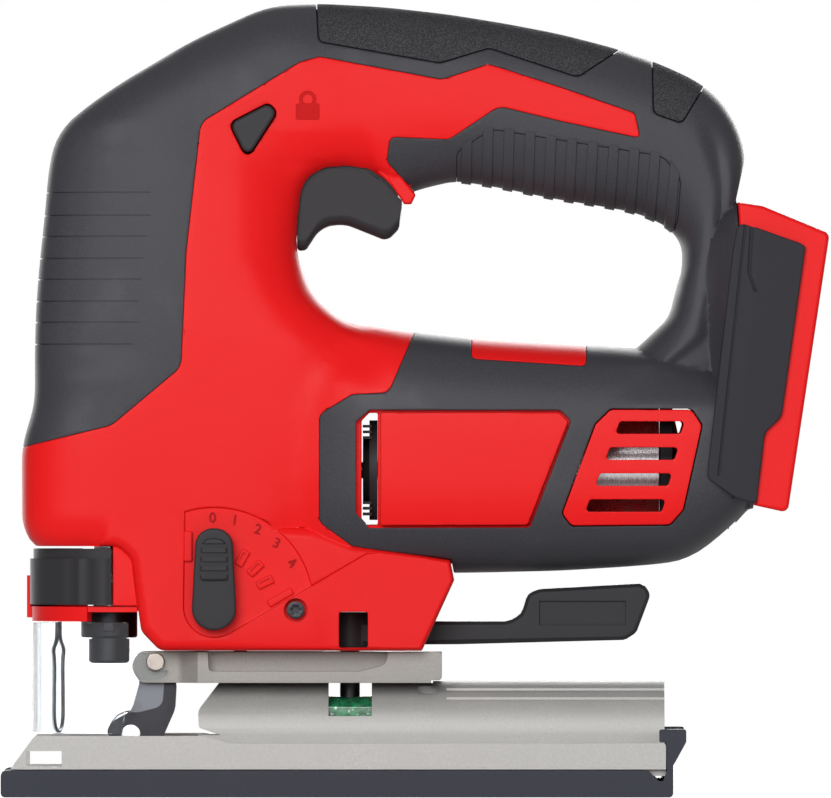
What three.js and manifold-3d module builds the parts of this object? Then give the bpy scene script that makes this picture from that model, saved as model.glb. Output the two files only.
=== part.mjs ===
// Cordless D-handle jigsaw, shown without its battery. Millimetres, +Z up.
// The blade end points to -X and the battery foot to +X; Y = 0 is the parting plane of the shell.
// The origin is the middle of the sole, on the sole plane.
import * as THREE from "three";
import { mergeVertices } from "three/addons/utils/BufferGeometryUtils.js";
import Module from "manifold-3d";

const wasm = await Module();
wasm.setup();

// ---------------------------------------------------------------- driving dimensions

const GAP = 0.3; // air between two pieces that touch
const FAR = 200; // reach of a cutter that passes right through
const FINENESS = 0.02; // faces flatter than this are merged
const SHELL_FINENESS = 0.09;
const PART_LINE = 0.15; // half the gap between the two shell halves
const SHELL_SIDES = 16; // facets round a section of the shell
const HIDDEN_SIDES = 12; // the same where the soft shell covers it
const SKIN = 2.6; // thickness of the soft shell over the hard one
const INSERT = 1.5; // thickness of the grip pads set into the soft shell

const PLUNGER_X = -67.5; // axis of the plunger and of the blade clamp
const STROKE = 25;
const ROD = 4.75; // radius of the plunger rod
const MOTOR_Z = 98; // height of the motor shaft
const MOTOR_R = 19;
const GEAR_MODULE = 1;
const PINION_TEETH = 8;
const GEAR_TEETH = 40;
const GEAR_Z = MOTOR_Z + (GEAR_MODULE * (PINION_TEETH + GEAR_TEETH)) / 2;
const GEAR_X = [-45, -38]; // faces of the crank gear

const NOSE_Z = 75.2; // underside of the nose
const BELLY_Z = 43.8; // underside of the lower housing
const LOWER_FRONT = -58.5; // front face of the lower housing
const RING_Z = [52.6, 57]; // the red ring under the release lever
const LEVER_Z = [57.6, 74.4];
const LEVER_R = 23.8;
const LEVER_INNER_R = 12;
const LEVER_ARC = [132, 272]; // degrees round the plunger, from +X
const SCALLOP_R = 5.5; // finger hollows of the lever
const RING_R = [18.4, 23.2];
const RING_ARC = [106, 254];
const TONGUE_Y = [18.4, 21.5]; // tongues that hold the ring in the housing
const TONGUE = 1.6; // their thickness
const LIP_R = [LEVER_R + GAP, LEVER_R + 1.4]; // lip that stands outside the lever
const LIP_ARC = [106, 170];
const LIP_TOP = 66.3;
const BRACKET_Z = [34.1, 43.4];
const ARM_PIN = [-53.4, 40.4];
const BRACKET_SCREW_X = -28;
const ROLLER = [-60.8, 18.6];
const ROLLER_R = 7.2;

const TILT_Z = 18.6; // height of the axis the shoe tilts about
const RAIL_R = 15.3; // outside of the half-round rail on the shoe
const RAIL_BORE = 11.8;
const SHOE_HALF = 39;
const SHOE_FRONT = -96.5;
const SHOE_BACK = 99.8;
const SOLE_TOP = 8.1;
const BOLT_X = 5; // axis of the bevel clamp bolt
const BOLT_R = 3;

const WORK_LIGHT = [-58.2, 15.5, 62.5]; // middle of the lamp face
const SELECTOR = [-35.7, 57];
const FACE_Y = 26; // side faces of the lower housing

// ---------------------------------------------------------------- solids

/** A three.js geometry as a closed solid, facing out. */
function solid(geometry) {
  const bare = geometry.clone();
  bare.deleteAttribute("normal");
  bare.deleteAttribute("uv");
  const merged = mergeVertices(bare, 1e-5);
  const corners = merged.index.array;
  const kept = [];
  for (let i = 0; i < corners.length; i += 3) {
    const [a, b, c] = [corners[i], corners[i + 1], corners[i + 2]];
    if (a !== b && b !== c && a !== c) kept.push(a, b, c);
  }
  const build = (triVerts) =>
    new wasm.Manifold(
      new wasm.Mesh({
        numProp: 3,
        vertProperties: merged.attributes.position.array,
        triVerts: Uint32Array.from(triVerts),
      }),
    );
  const made = build(kept);
  return made.volume() < 0 ? build(kept.reverse()) : made;
}

/** The solid as a three.js geometry. */
function geometryOf(body) {
  const mesh = body.getMesh();
  const points = new Float32Array(mesh.numVert * 3);
  for (let i = 0; i < mesh.numVert; i += 1) {
    const start = i * mesh.numProp;
    points.set(mesh.vertProperties.subarray(start, start + 3), i * 3);
  }
  const geometry = new THREE.BufferGeometry();
  geometry.setAttribute("position", new THREE.BufferAttribute(points, 3));
  geometry.setIndex(new THREE.BufferAttribute(mesh.triVerts, 1));
  return geometry;
}

const union = (...bodies) => bodies.reduce((a, b) => a.add(b));
const cut = (body, ...cutters) => cutters.reduce((a, b) => a.subtract(b), body);

/** The corner [x, y, r] between two neighbours, rounded by a tangent arc of radius r. */
function roundedCorner(before, [x, y, r = 0], after) {
  if (!r) return [new THREE.Vector2(x, y)];
  const here = new THREE.Vector2(x, y);
  const back = new THREE.Vector2(before[0] - x, before[1] - y);
  const on = new THREE.Vector2(after[0] - x, after[1] - y);
  const half = Math.acos(back.dot(on) / back.length() / on.length()) / 2;
  const reach = Math.min(r / Math.tan(half), 0.49 * back.length(), 0.49 * on.length());
  const radius = reach * Math.tan(half);
  const middle = back.clone().normalize().add(on.clone().normalize()).normalize();
  const centre = here.clone().addScaledVector(middle, radius / Math.sin(half));
  const start = here.clone().addScaledVector(back.normalize(), reach).sub(centre);
  const end = here.clone().addScaledVector(on.normalize(), reach).sub(centre);
  const turn = Math.atan2(start.cross(end), start.dot(end));
  const facet = radius < 3 ? Math.PI / 4 : Math.PI / 8;
  const steps = Math.max(1, Math.round(Math.abs(turn) / facet));
  return Array.from({ length: steps + 1 }, (_, i) =>
    start.clone().rotateAround(new THREE.Vector2(), (turn * i) / steps).add(centre),
  );
}

/** A closed shape from corners [x, y, radius]. */
function outline(corners) {
  const last = corners.length;
  const points = corners.flatMap((corner, i) =>
    roundedCorner(corners[(i + last - 1) % last], corner, corners[(i + 1) % last]),
  );
  return new THREE.Shape(points);
}

/** The same corners moved outwards by a distance, each edge parallel to the old one. */
function grown(corners, by) {
  const area = THREE.ShapeUtils.area(corners.map(([x, y]) => new THREE.Vector2(x, y)));
  const side = Math.sign(area) * by;
  const last = corners.length;
  return corners.map(([x, y, r = 0], i) => {
    const before = corners[(i + last - 1) % last];
    const after = corners[(i + 1) % last];
    const a = new THREE.Vector2(x - before[0], y - before[1]).normalize();
    const b = new THREE.Vector2(after[0] - x, after[1] - y).normalize();
    const normal = new THREE.Vector2(a.y + b.y, -a.x - b.x);
    const scale = (2 * side) / Math.max(normal.lengthSq(), 0.5);
    return [x + normal.x * scale, y + normal.y * scale, r];
  });
}

const flat = (shape, depth) => new THREE.ExtrudeGeometry(shape, { depth, bevelEnabled: false });

/** A side-view shape (X, Z) between two Y planes. */
function slab(shape, y0, y1) {
  return solid(flat(shape, y1 - y0).rotateX(Math.PI / 2).translate(0, y1, 0));
}

/** A plan-view shape (X, Y) between two heights. */
function plate(shape, z0, z1) {
  return solid(flat(shape, z1 - z0).translate(0, 0, z0));
}

/** A section (Y, Z) drawn along X. */
function beam(shape, x0, x1) {
  const turn = new THREE.Matrix4().makeBasis(
    new THREE.Vector3(0, 1, 0),
    new THREE.Vector3(0, 0, 1),
    new THREE.Vector3(1, 0, 0),
  );
  return solid(flat(shape, x1 - x0).applyMatrix4(turn).translate(x0, 0, 0));
}

/** A side-view shape centred on Y = 0 with quarter-round edges. */
function softSlab(shape, half, edge, segments = 3) {
  const geometry = new THREE.ExtrudeGeometry(shape, {
    depth: 2 * (half - edge),
    bevelThickness: edge,
    bevelSize: edge,
    bevelOffset: -edge,
    bevelSegments: segments,
  });
  return solid(geometry.rotateX(Math.PI / 2).translate(0, half - edge, 0));
}

function block([x0, x1], [y0, y1], [z0, z1]) {
  const box = new THREE.BoxGeometry(x1 - x0, y1 - y0, z1 - z0);
  return solid(box.translate((x0 + x1) / 2, (y0 + y1) / 2, (z0 + z1) / 2));
}

/** Turns a geometry made about Y so that it stands about the named axis through [u, v]. */
function about(axis, geometry, [u, v]) {
  if (axis === "x") return geometry.rotateZ(-Math.PI / 2).translate(0, u, v);
  if (axis === "y") return geometry.translate(u, 0, v);
  return geometry.rotateX(Math.PI / 2).translate(u, v, 0);
}

function rod(axis, radius, [from, to], centre, sides = 16) {
  const geometry = new THREE.CylinderGeometry(radius, radius, to - from, sides);
  return solid(about(axis, geometry.translate(0, (from + to) / 2, 0), centre));
}

/** A profile of [radius, height] points turned about an axis. */
function turned(axis, profile, centre, sides = 20) {
  const points = profile.map(([r, h]) => new THREE.Vector2(r, h));
  points.push(points[0].clone());
  return solid(about(axis, new THREE.LatheGeometry(points, sides), centre));
}

/** A ring between two radii. */
function tube(axis, outer, inner, [from, to], centre, sides = 16) {
  const profile = [[inner, from], [outer, from], [outer, to], [inner, to]];
  return turned(axis, profile, centre, sides);
}

/** A round bar along a curve. */
function wire(points, radius, steps) {
  const section = new THREE.Shape();
  section.absarc(0, 0, radius, 0, 2 * Math.PI);
  const path = new THREE.CatmullRomCurve3(points.map((p) => new THREE.Vector3(...p)));
  const settings = { steps, extrudePath: path, curveSegments: 2, bevelEnabled: false };
  return solid(new THREE.ExtrudeGeometry(section, settings));
}

// ---------------------------------------------------------------- materials

const SURFACE = {
  redShell: { color: 0xe02a2c, roughness: 0.42, metalness: 0 },
  softShell: { color: 0x434347, roughness: 0.7, metalness: 0 },
  padRubber: { color: 0x38383b, roughness: 0.9, metalness: 0 },
  blackNylon: { color: 0x36363a, roughness: 0.5, metalness: 0 },
  slateCover: { color: 0x44464f, roughness: 0.6, metalness: 0 },
  castAluminium: { color: 0xbcbcb8, roughness: 0.5, metalness: 0.9 },
  brightSteel: { color: 0xc8c8cc, roughness: 0.25, metalness: 1 },
  darkSteel: { color: 0x55565a, roughness: 0.4, metalness: 1 },
  greenNut: { color: 0x1f7a4a, roughness: 0.35, metalness: 0.4 },
  clearPlastic: { color: 0xe4ebee, roughness: 0.08, metalness: 0, transparent: true, opacity: 0.3 },
  brass: { color: 0xb08d3e, roughness: 0.35, metalness: 1 },
  copper: { color: 0xa8623a, roughness: 0.4, metalness: 1 },
  board: { color: 0x2c5c3a, roughness: 0.6, metalness: 0 },
  lens: { color: 0xf2f4e8, roughness: 0.15, metalness: 0 },
};

const group = new THREE.Group();
group.name = "jigsaw";

/** Adds one piece to the object, in its own material. */
function piece(name, body, surface, fineness = FINENESS) {
  const material = new THREE.MeshStandardMaterial(SURFACE[surface]);
  const [whole] = body.simplify(fineness).decompose().sort((a, b) => b.volume() - a.volume());
  const mesh = new THREE.Mesh(geometryOf(whole), material);
  mesh.name = name;
  group.add(mesh);
}

/** The left (-Y) or right (+Y) part of a body that crosses the parting plane. */
function halfOf(body, side) {
  const y = side === "left" ? [-FAR, -PART_LINE] : [PART_LINE, FAR];
  return body.intersect(block([-FAR, FAR], y, [-FAR, 2 * FAR]));
}

/** Adds a left and a right piece, cut from a body that crosses the parting plane. */
function pair(name, body, surface) {
  ["left", "right"].forEach((side) =>
    piece(`${side}_${name}`, halfOf(body, side), surface, SHELL_FINENESS),
  );
}

// ---------------------------------------------------------------- outer form of the shell

// Sections of the head, handle and rear post, in order from the nose round the loop:
// front or top edge x, z; edge towards the hand opening x, z; half width; squareness.
const LOOP = [
  [-89.4, 75.2, -6, 75.2, 22.5, 5],
  [-93.6, 79.4, -4, 78, 26, 5],
  [-93.7, 105, 14, 112, 26.5, 5],
  [-89.7, 118.5, 15, 136, 26.5, 5],
  [-89.8, 134.6, 0, 144.6, 26.5, 5],
  [-89.4, 147.6, -7.6, 152.5, 26, 4.6],
  [-88.3, 161, -10.8, 164, 25.4, 4.4],
  [-86.6, 176, -10, 174, 24.6, 4.2],
  [-84.6, 190, -8.9, 182.5, 23.6, 4],
  [-78.6, 202.5, -5.5, 186.5, 22.6, 3.8],
  [-65.4, 215.1, -1.2, 188.4, 21.5, 3.6],
  [-42.6, 227.7, 6, 188.2, 20.4, 3.3],
  [-19.5, 237.3, 14.4, 185.7, 19.5, 3],
  [-5, 238.6, 21, 180.8, 18.9, 2.8],
  [15, 236.9, 28, 183, 18.5, 2.7],
  [34, 234.6, 36.6, 185, 18.5, 2.7],
  [52, 231.7, 50, 182.9, 18.5, 2.7],
  [68.1, 228.6, 66, 179.6, 18.5, 2.7],
  [85.5, 223.8, 80, 177.4, 18.5, 2.7],
  [98, 218.6, 90, 175.6, 18.5, 2.7],
  [111, 213.3, 96.5, 173.2, 18.5, 2.7],
  [117.7, 207, 101.8, 170.2, 18.6, 2.8],
  [123.6, 194.8, 105, 165.5, 18.8, 2.9],
  [123.4, 180, 105, 158.4, 19.2, 3],
  [123, 164, 103.3, 153, 19.8, 3],
  [123, 146, 101.1, 144, 20.6, 3],
  [123.4, 128, 95.5, 138.5, 22, 3],
  [124, 110, 84, 128, 25, 3],
];

// Sections of the motor body along X: x, underside, top, half width, squareness.
const BARREL = [
  [-16, 73, 136, 23, 4],
  [-5, 68.4, 140.4, 27.5, 3.6],
  [6, 66.9, 142.2, 30.5, 3.4],
  [24, 67, 139.5, 32, 3.3],
  [42, 67.1, 137.5, 32.3, 3.3],
  [68, 67.7, 135.9, 32.3, 3.3],
  [88, 68.9, 134.9, 32.3, 3.3],
  [100, 69.9, 134, 32.3, 3.3],
  [107, 71.2, 132, 32.3, 3.3],
  [115.5, 77.3, 130, 32.2, 3.3],
  [121, 82.6, 127, 32, 3.3],
  [127, 88, 124, 31.6, 3.3],
];

// Flare from the rear post to the width of the battery foot: x, underside, top, half width.
const FLARE = [
  [108, 100, 164, 12, 4],
  [111.5, 95, 170, 19, 4.4],
  [115.5, 91, 175, 25.5, 5],
  [121, 87.5, 178.2, 31.4, 6],
  [128, 86, 178.6, 32.6, 6],
];

/** A loft through superelliptic sections [x, z, x, z, half, squareness], set in by a distance. */
function sectionLoft(sections, inset, sides = SHELL_SIDES) {
  const spans = sections.length - 1;
  const geometry = new THREE.CylinderGeometry(1, 1, 1, sides, spans);
  const at = geometry.attributes.position;
  for (let i = 0; i < at.count; i += 1) {
    const station = Math.round((0.5 - at.getY(i)) * spans);
    const [x0, z0, x1, z1, half, square] = sections[station];
    const [c, s] = [at.getZ(i), at.getX(i)].map((v) => Math.round(v * 1e6) / 1e6);
    const along = Math.sign(c) * Math.abs(c) ** (2 / square);
    const across = Math.sign(s) * Math.abs(s) ** (2 / square);
    const length = Math.hypot(x0 - x1, z0 - z1) / 2;
    const grow = (along * (length - inset)) / length / 2;
    at.setXYZ(
      i,
      (x0 + x1) / 2 + (x0 - x1) * grow,
      across * (half - inset),
      (z0 + z1) / 2 + (z0 - z1) * grow,
    );
  }
  return solid(geometry);
}

const upright = (sections) => sections.map(([x, low, high, h, n]) => [x, high, x, low, h, n]);

/** Head, handle, post and motor body together, set in by a distance. */
function shellForm(inset, sides) {
  return union(
    sectionLoft(LOOP, inset, sides),
    sectionLoft(upright(BARREL), inset, sides),
    sectionLoft(upright(FLARE), inset, sides),
  );
}

const LOWER_BODY = [
  [LOWER_FRONT, 82, 0],
  [LOWER_FRONT, 57, 0],
  [LOWER_FRONT + 0.9, 49.6, 4],
  [-52, BELLY_Z, 4],
  [26.7, BELLY_Z, 0],
  [36.4, 65, 0],
  [35.2, 71, 0],
  [6, 76, 0],
  [-6, 82, 0],
];

// Limit of the soft shell; everything on the near side of it is red.
const SOFT_LIMIT = [
  [-120, 105, 0],
  [-93.6, 105, 0],
  [-66.6, 111.6, 6],
  [-45.8, 129, 5],
  [-44.2, 164, 12],
  [-39.9, 202.5, 5],
  [-9.9, 220.8, 4],
  [-4, 222.4, 3],
  [32.7, 215.5, 5],
  [46.8, 220.2, 5],
  [68.1, 213.3, 3],
  [90.8, 205.4, 2],
  [92.4, 197.6, 1],
  [68.1, 202.8, 8],
  [49.9, 207.2, 5],
  [34.9, 197.2, 4],
  [17.2, 198, 2],
  [16.3, 190.8, 2],
  [25.2, 181, 2],
  [36, 165, 4],
  [36, 150, 4],
  [24.6, 139.4, 1],
  [16.8, 121.2, 3],
  [5.7, 120.6, 3],
  [-4, 114.7, 3],
  [-4, 82.5, 3],
  [6.2, 75.1, 3],
  [6.2, 50, 0],
  [160, 50, 0],
  [160, 260, 0],
  [-120, 260, 0],
];
const RED_INLAY = [
  [41.9, 146, 0],
  [41.7, 131.6, 1.5],
  [75.9, 129.4, 1.5],
  [75.9, 146, 0],
];
// Line between the shell and the battery foot.
const REAR_LINE = [
  [121, 184],
  [121.4, 178.4],
  [126.4, 87.4],
  [127, 76],
];

const through = (corners, by = 0) => slab(outline(by ? grown(corners, by) : corners), -FAR, FAR);

const behindRear = (by) =>
  through([
    [REAR_LINE[0][0] - by, REAR_LINE[0][1]],
    [REAR_LINE[1][0] - by, REAR_LINE[1][1]],
    [REAR_LINE[2][0] - by, REAR_LINE[2][1]],
    [REAR_LINE[3][0] - by, REAR_LINE[3][1]],
    [200, REAR_LINE[3][1]],
    [200, REAR_LINE[0][1]],
  ]);

const OUTER = cut(shellForm(0), behindRear(GAP / 2));
const UNDER = cut(shellForm(SKIN + GAP, HIDDEN_SIDES), behindRear(GAP / 2));
const softZone = (by) => cut(through(SOFT_LIMIT, by), through(RED_INLAY, -by));

// ---------------------------------------------------------------- inserts in the soft shell

const TOP_PAD = [
  [-5.6, 250, 0],
  [-4.2, 226.9, 2],
  [32.1, 220.5, 4],
  [46.8, 225, 4],
  [73.5, 216.3, 3],
  [88, 225.8, 0],
  [90, 250, 0],
];
const REAR_PAD = [
  [95.6, 250, 0],
  [96.4, 205.4, 2],
  [104.7, 202.4, 2],
  [113, 216, 0],
  [120, 250, 0],
];
const FINGER_ZONE = [
  [37, 170, 0],
  [37.2, 193.6, 3],
  [47.7, 200.3, 5],
  [99.4, 192.2, 6],
  [104.4, 185.1, 4],
  [103.4, 172, 3],
  [94, 165, 0],
];
const MOTOR_PANEL = [
  [14.2, 115.4, 0.8],
  [67.8, 115.4, 1],
  [70.6, 112.6, 1],
  [58.4, 81.6, 1],
  [14.2, 81.4, 0.8],
];
const PANEL_RECESS = [
  [6.9, 112.5, 1],
  [11.1, 116.1, 1],
  [68.1, 116.1, 1.5],
  [71.4, 112.8, 1.5],
  [59.1, 80.8, 1.5],
  [10.8, 80.7, 1],
  [6.9, 85.2, 1],
];
const COOLING_SLOT = [
  [8.5, 81.6],
  [13.4, 81.6],
  [13.4, 115.2],
  [10.8, 115.2],
  [8.5, 112.8],
];
const VENT = [
  [78.8, 111.8, 2],
  [83.3, 116.2, 2],
  [107.5, 116.2, 2],
  [110.6, 111.5, 2],
  [105, 86.2, 2],
  [101.1, 81.7, 2],
  [71.6, 81.4, 2],
  [68.8, 85, 2],
];
const LOUVRES = 4;
const LOUVRE_PITCH = 7.8;

/** The slots of the vent, each lower one longer and further forward. */
function louvres() {
  return Array.from({ length: LOUVRES }, (_, i) => {
    const low = 85.6 + LOUVRE_PITCH * i;
    const front = 75.6 + 3 * i;
    const back = 98.6 + 1.9 * i;
    return through([
      [front, low],
      [back, low],
      [back + 1.2, low + 3.7],
      [front + 1.5, low + 3.7],
    ]);
  });
}

const FORMS = new Map();
/** The outer form set in by a distance, made once for each distance. */
function formAt(inset) {
  if (!FORMS.has(inset)) FORMS.set(inset, cut(shellForm(inset), behindRear(GAP / 2)));
  return FORMS.get(inset);
}

/** A skin of the shell between two depths, inside a side-view shape. */
function skin(corners, top, bottom) {
  return formAt(top).intersect(through(corners)).subtract(formAt(bottom));
}

const RIBS = 11;
const RIB_PITCH = 6.2;

/** The ribbed rubber under the fingers: a base with ribs that stand out of it. */
function fingerGrip() {
  const base = skin(FINGER_ZONE, 0.6, INSERT);
  const ribs = Array.from({ length: RIBS }, (_, i) => {
    const x = 38.4 + RIB_PITCH * i;
    const lean = 0.5 + 0.22 * i;
    return through([
      [x - lean, 150],
      [x + 3 - lean, 150],
      [x + 3 + lean, 210],
      [x + lean, 210],
    ]);
  });
  const raised = formAt(-0.7).subtract(formAt(1)).intersect(through(grown(FINGER_ZONE, -1)));
  return base.add(raised.intersect(union(...ribs)));
}

const PADS = [TOP_PAD, REAR_PAD, FINGER_ZONE];
const padPockets = union(...PADS.map((pad) => through(pad, GAP)));

const GROOVE_DEPTH = 0.6;
const GROOVE_TOP = 181.2;
const GROOVE_PITCH = 6.5;
const GROOVES = 8;

/** Shingle grooves across the front of the head, the lower ones a little shorter. */
function noseGrooves() {
  const core = formAt(GROOVE_DEPTH);
  return Array.from({ length: GROOVES }, (_, i) => {
    const z = GROOVE_TOP - GROOVE_PITCH * i;
    const end = -55.2 - 0.6 * i;
    const band = block([-110, end], [-FAR, FAR], [z - 0.1, z + 0.6]);
    return band.subtract(core);
  });
}

/** The dark soft shell over nose, handle, post and motor body. */
function softShell() {
  const body = OUTER.subtract(shellForm(SKIN, HIDDEN_SIDES)).intersect(softZone(-PART_LINE));
  return cut(
    body,
    padPockets.subtract(formAt(INSERT + GAP)),
    through(PANEL_RECESS),
    through(VENT, GAP),
    softSlab(outline(grown(LOWER_BODY, GAP)), FACE_Y + GAP, 3.2),
    ...noseGrooves(),
    ...SCREWS.map(screwHole),
  );
}

// ---------------------------------------------------------------- screws of the shell

// Side the head is on, x, z, depth of the head below y = 0 plane of its face.
const SCREWS = [
  ["left", -11.2, 56, 23.5],
  ["right", -70, 196, 17.5],
  ["right", 58, 209.5, 12],
  ["right", 62, 74.5, 25],
  ["right", -30, 163, 22.5],
];
const SCREW_R = 1.6;
const HEAD_R = 2.6;

const outward = (side) => (side === "left" ? -1 : 1);
const span = (side, a, b) => [outward(side) * a, outward(side) * b].sort((p, q) => p - q);

function screwRecess([side, x, z, depth]) {
  return rod("y", HEAD_R + 1, span(side, depth - 2.2, FAR), [x, z], 16);
}

function screwHole([side, x, z, depth]) {
  const shank = rod("y", SCREW_R + GAP, span(side, depth - 21, depth), [x, z], 8);
  return shank.add(screwRecess([side, x, z, depth]));
}

function screw([side, x, z, depth]) {
  const shank = rod("y", SCREW_R, span(side, depth - 20, depth - 1), [x, z], 8);
  const head = rod("y", HEAD_R, span(side, depth - 1.9, depth + 0.3), [x, z], 14);
  const socket = rod("y", 1.2, span(side, depth - 1, depth + 2), [x, z], 6);
  return shank.add(head).subtract(socket);
}

// ---------------------------------------------------------------- trigger and its switch

const TRIGGER = [
  [-1.6, 189, 4],
  [-9.1, 182.6, 5],
  [-11, 163.9, 1.2],
  [-8.2, 164.2, 1.5],
  [-3.6, 171.2, 6],
  [3.4, 172, 8],
  [16.2, 166.9, 3],
  [19.8, 170.6, 2.5],
  [20.8, 178.2, 2.2],
  [14.5, 185.2, 5],
  [7, 188, 6],
];
const TRIGGER_HALF = 9.5;
const TRIGGER_EDGE = 3.4; // radius of its long finger edges
const TRIGGER_TOP = 181; // above this height the sides are square
const SWITCH_X = [-8, 34];
const SWITCH_Z = [197.5, 214];
const SWITCH_HALF = 9;

// Room the trigger sweeps as it is pulled, up to its return spring.
const TRIGGER_WAY = [
  [-11.5, 160, 0],
  [-11.4, 164, 0],
  [-9.4, 183, 0],
  [-8.7, 191, 4],
  [-1, 196.2, 4],
  [16, 194.2, 4],
  [22.4, 186.5, 3],
  [22.4, 160, 0],
];

const triggerWay = () => slab(outline(TRIGGER_WAY), -TRIGGER_HALF - 0.5, TRIGGER_HALF + 0.5);

/** A finger piece, rounded where the finger lies and hollow above for its return spring. */
function trigger() {
  const steps = 7;
  const geometry = new THREE.ExtrudeGeometry(outline(TRIGGER), {
    depth: 1,
    steps,
    bevelEnabled: false,
  }).rotateX(Math.PI / 2);
  const at = geometry.attributes.position;
  for (let i = 0; i < at.count; i += 1) {
    const station = Math.round(-at.getY(i) * steps);
    const edge = Math.min(station, steps - station);
    const turn = (edge * Math.PI) / 6;
    const side = TRIGGER_HALF - TRIGGER_EDGE * (1 - Math.cos(turn));
    const lift = TRIGGER_EDGE * (1 - Math.sin(turn));
    const share = THREE.MathUtils.clamp((TRIGGER_TOP - at.getZ(i)) / 10, 0, 1);
    at.setY(i, station > steps / 2 ? -side : side);
    at.setZ(i, at.getZ(i) + lift * share);
  }
  const hollow = block([-3, 12], [-TRIGGER_HALF + 2.5, TRIGGER_HALF - 2.5], [177, 200]);
  return solid(geometry).subtract(hollow);
}

function switchModule() {
  const body = block(SWITCH_X, [-SWITCH_HALF, SWITCH_HALF], SWITCH_Z);
  const lobe = block([SWITCH_X[1] - 3, SWITCH_X[1] + 3], [-6, 6], [200, 210]);
  const plunger = rod("z", 2.2, [195.6, 199], [4, 0], 12);
  return union(body, lobe, plunger);
}

const switchBay = () =>
  block([SWITCH_X[0] - GAP, SWITCH_X[1] + 3 + GAP], [-9.4, 9.4], [194.5, SWITCH_Z[1] + GAP]);

// ---------------------------------------------------------------- lock button, speed board

const LOCK = [
  [-31, 202.1, 2.2],
  [-19.4, 208.1, 1.9],
  [-17, 205.4, 1.9],
  [-25.8, 191.6, 2],
];
const LOCK_HALF = 23.6;

const lockButton = () => softSlab(outline(LOCK), LOCK_HALF, 0.7, 1);
const lockWay = () => through(LOCK, 0.35);

const BOARD = { x: [111.2, 112.8], y: [-9, 9], z: [132, 168] };

function controlBoard() {
  const board = block(BOARD.x, BOARD.y, BOARD.z);
  const parts = [0, 1, 2].map((i) => block([108.4, 111.6], [-6, 6], [136 + 10 * i, 142 + 10 * i]));
  return union(board, ...parts);
}

const boardBay = () => block([108, 113.2], [-9.4, 9.4], [131.5, 168.5]);

// ---------------------------------------------------------------- battery foot

const FOOT = [
  [121.4, 178.4, 0],
  [128.9, 177.3, 2],
  [149, 169, 2],
  [136.4, 85.3, 2],
  [126.4, 87.5, 0],
];
const FOOT_HALF = 32.6;
const BAY_HALF = 25.5;
const BAY_LEAN = Math.atan2(12.6, 83.7); // lean of the battery face from upright
const CHEEK = [
  [121.4, 172.3, 2],
  [126.7, 170.9, 3],
  [140, 166.2, 2],
  [141.7, 165.1, 1],
  [134.5, 114, 4],
  [129.5, 109.3, 4],
  [127, 87.9, 1],
  [120.6, 89.8, 2],
  [112.2, 95.6, 2],
  [112.5, 100.1, 3],
  [119.9, 164.1, 2],
];
const CHEEK_SKIN = 2;

/** Turns a piece drawn against an upright battery face so that it leans as the real face does. */
const leaned = (body) => body.rotate([0, (BAY_LEAN * 180) / Math.PI, 0]).translate([136.4, 0, 85.3]);

/** The bay the battery rails slide up: an open channel with an undercut on each side. */
function batteryBay() {
  const channel = block([-11, 5], [-BAY_HALF + 4, BAY_HALF - 4], [-5, 76]);
  const undercut = block([-11, -5], [-BAY_HALF, BAY_HALF], [-5, 76]);
  return leaned(channel.add(undercut));
}

function batteryFoot() {
  const body = softSlab(outline(FOOT), FOOT_HALF, 1.2, 2);
  const front = behindRear(-GAP / 2);
  return cut(body.intersect(front), batteryBay());
}

/** The form of the foot and the flare in front of it, grown by a distance. */
const footForm = (by) =>
  union(
    sectionLoft(upright(FLARE), -by),
    slab(outline(grown(FOOT, 6)), -FOOT_HALF - by, FOOT_HALF + by),
    sectionLoft(upright(BARREL), -by),
    sectionLoft(LOOP, -by),
  );

const cheeks = () =>
  cut(footForm(CHEEK_SKIN).intersect(through(CHEEK)), footForm(GAP)).subtract(
    block([100, 160], [-15, 15], [60, 200]),
  );

const TERMINAL_Z = [24, 58];
const BLADES = { plus: -14, signal: 0, minus: 14 };

function terminalBlock() {
  const body = block([-10.7, -6], [-20, 20], TERMINAL_Z);
  const step = block([-6, -2.5], [-17, 17], [TERMINAL_Z[0] + 22, TERMINAL_Z[1]]);
  const slots = Object.values(BLADES).map((y) => block([-8, 5], [y - 0.9, y + 0.9], [20, 62]));
  return leaned(cut(body.add(step), ...slots));
}

const terminal = (y) => leaned(block([-7.6, 0], [y - 0.5, y + 0.5], [TERMINAL_Z[0] + 6, 56]));

// ---------------------------------------------------------------- hard shell halves

/** Room inside the shell for the drive, the motor, the switch and the boards. */
function rooms() {
  return [
    block([-80.5, -29], [-22.5, 22.5], [84, 159]), // gear frame
    block([-80.5, -29], [-12.5, 12.5], [76.4, 87]),
    rod("z", 2.1, [40, 55], [BRACKET_SCREW_X, 0], 12),
    workLightSeat(),
    block([-76.5, -58.5], [-9, 9], [156, 190]), // plunger at the top of its stroke
    rod("z", 10.5, [BELLY_Z - 5, NOSE_Z + 4], [PLUNGER_X, 0], 24), // blade clamp
    rod("x", 6.5, [-35, 16], [0, MOTOR_Z], 16),
    rod("x", MOTOR_R + 1, [16, 111.5], [0, MOTOR_Z], 28),
    triggerWay(),
    switchBay(),
    lockWay(),
    boardBay(),
  ];
}

const LEVER_ROOM = { x: [-3, 60], y: [-9, 60], z: [BELLY_Z - 2, 56] };

/** Openings of the clamp bracket: the way of the bevel lever, open to the right. */
function leverRoom() {
  const way = block(LEVER_ROOM.x, LEVER_ROOM.y, LEVER_ROOM.z);
  const window = slab(
    outline([
      [1.8, 44.7, 0.8],
      [10.4, 44.7, 0.8],
      [10.4, 55.5, 0.8],
      [1.8, 55.5, 0.8],
    ]),
    -FAR,
    0,
  );
  return way.add(window);
}

const DIAL_R = 29.9; // rim of the sector round the selector
const HUB_R = 9.2;
const DIAL_DEPTH = 1;
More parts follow.
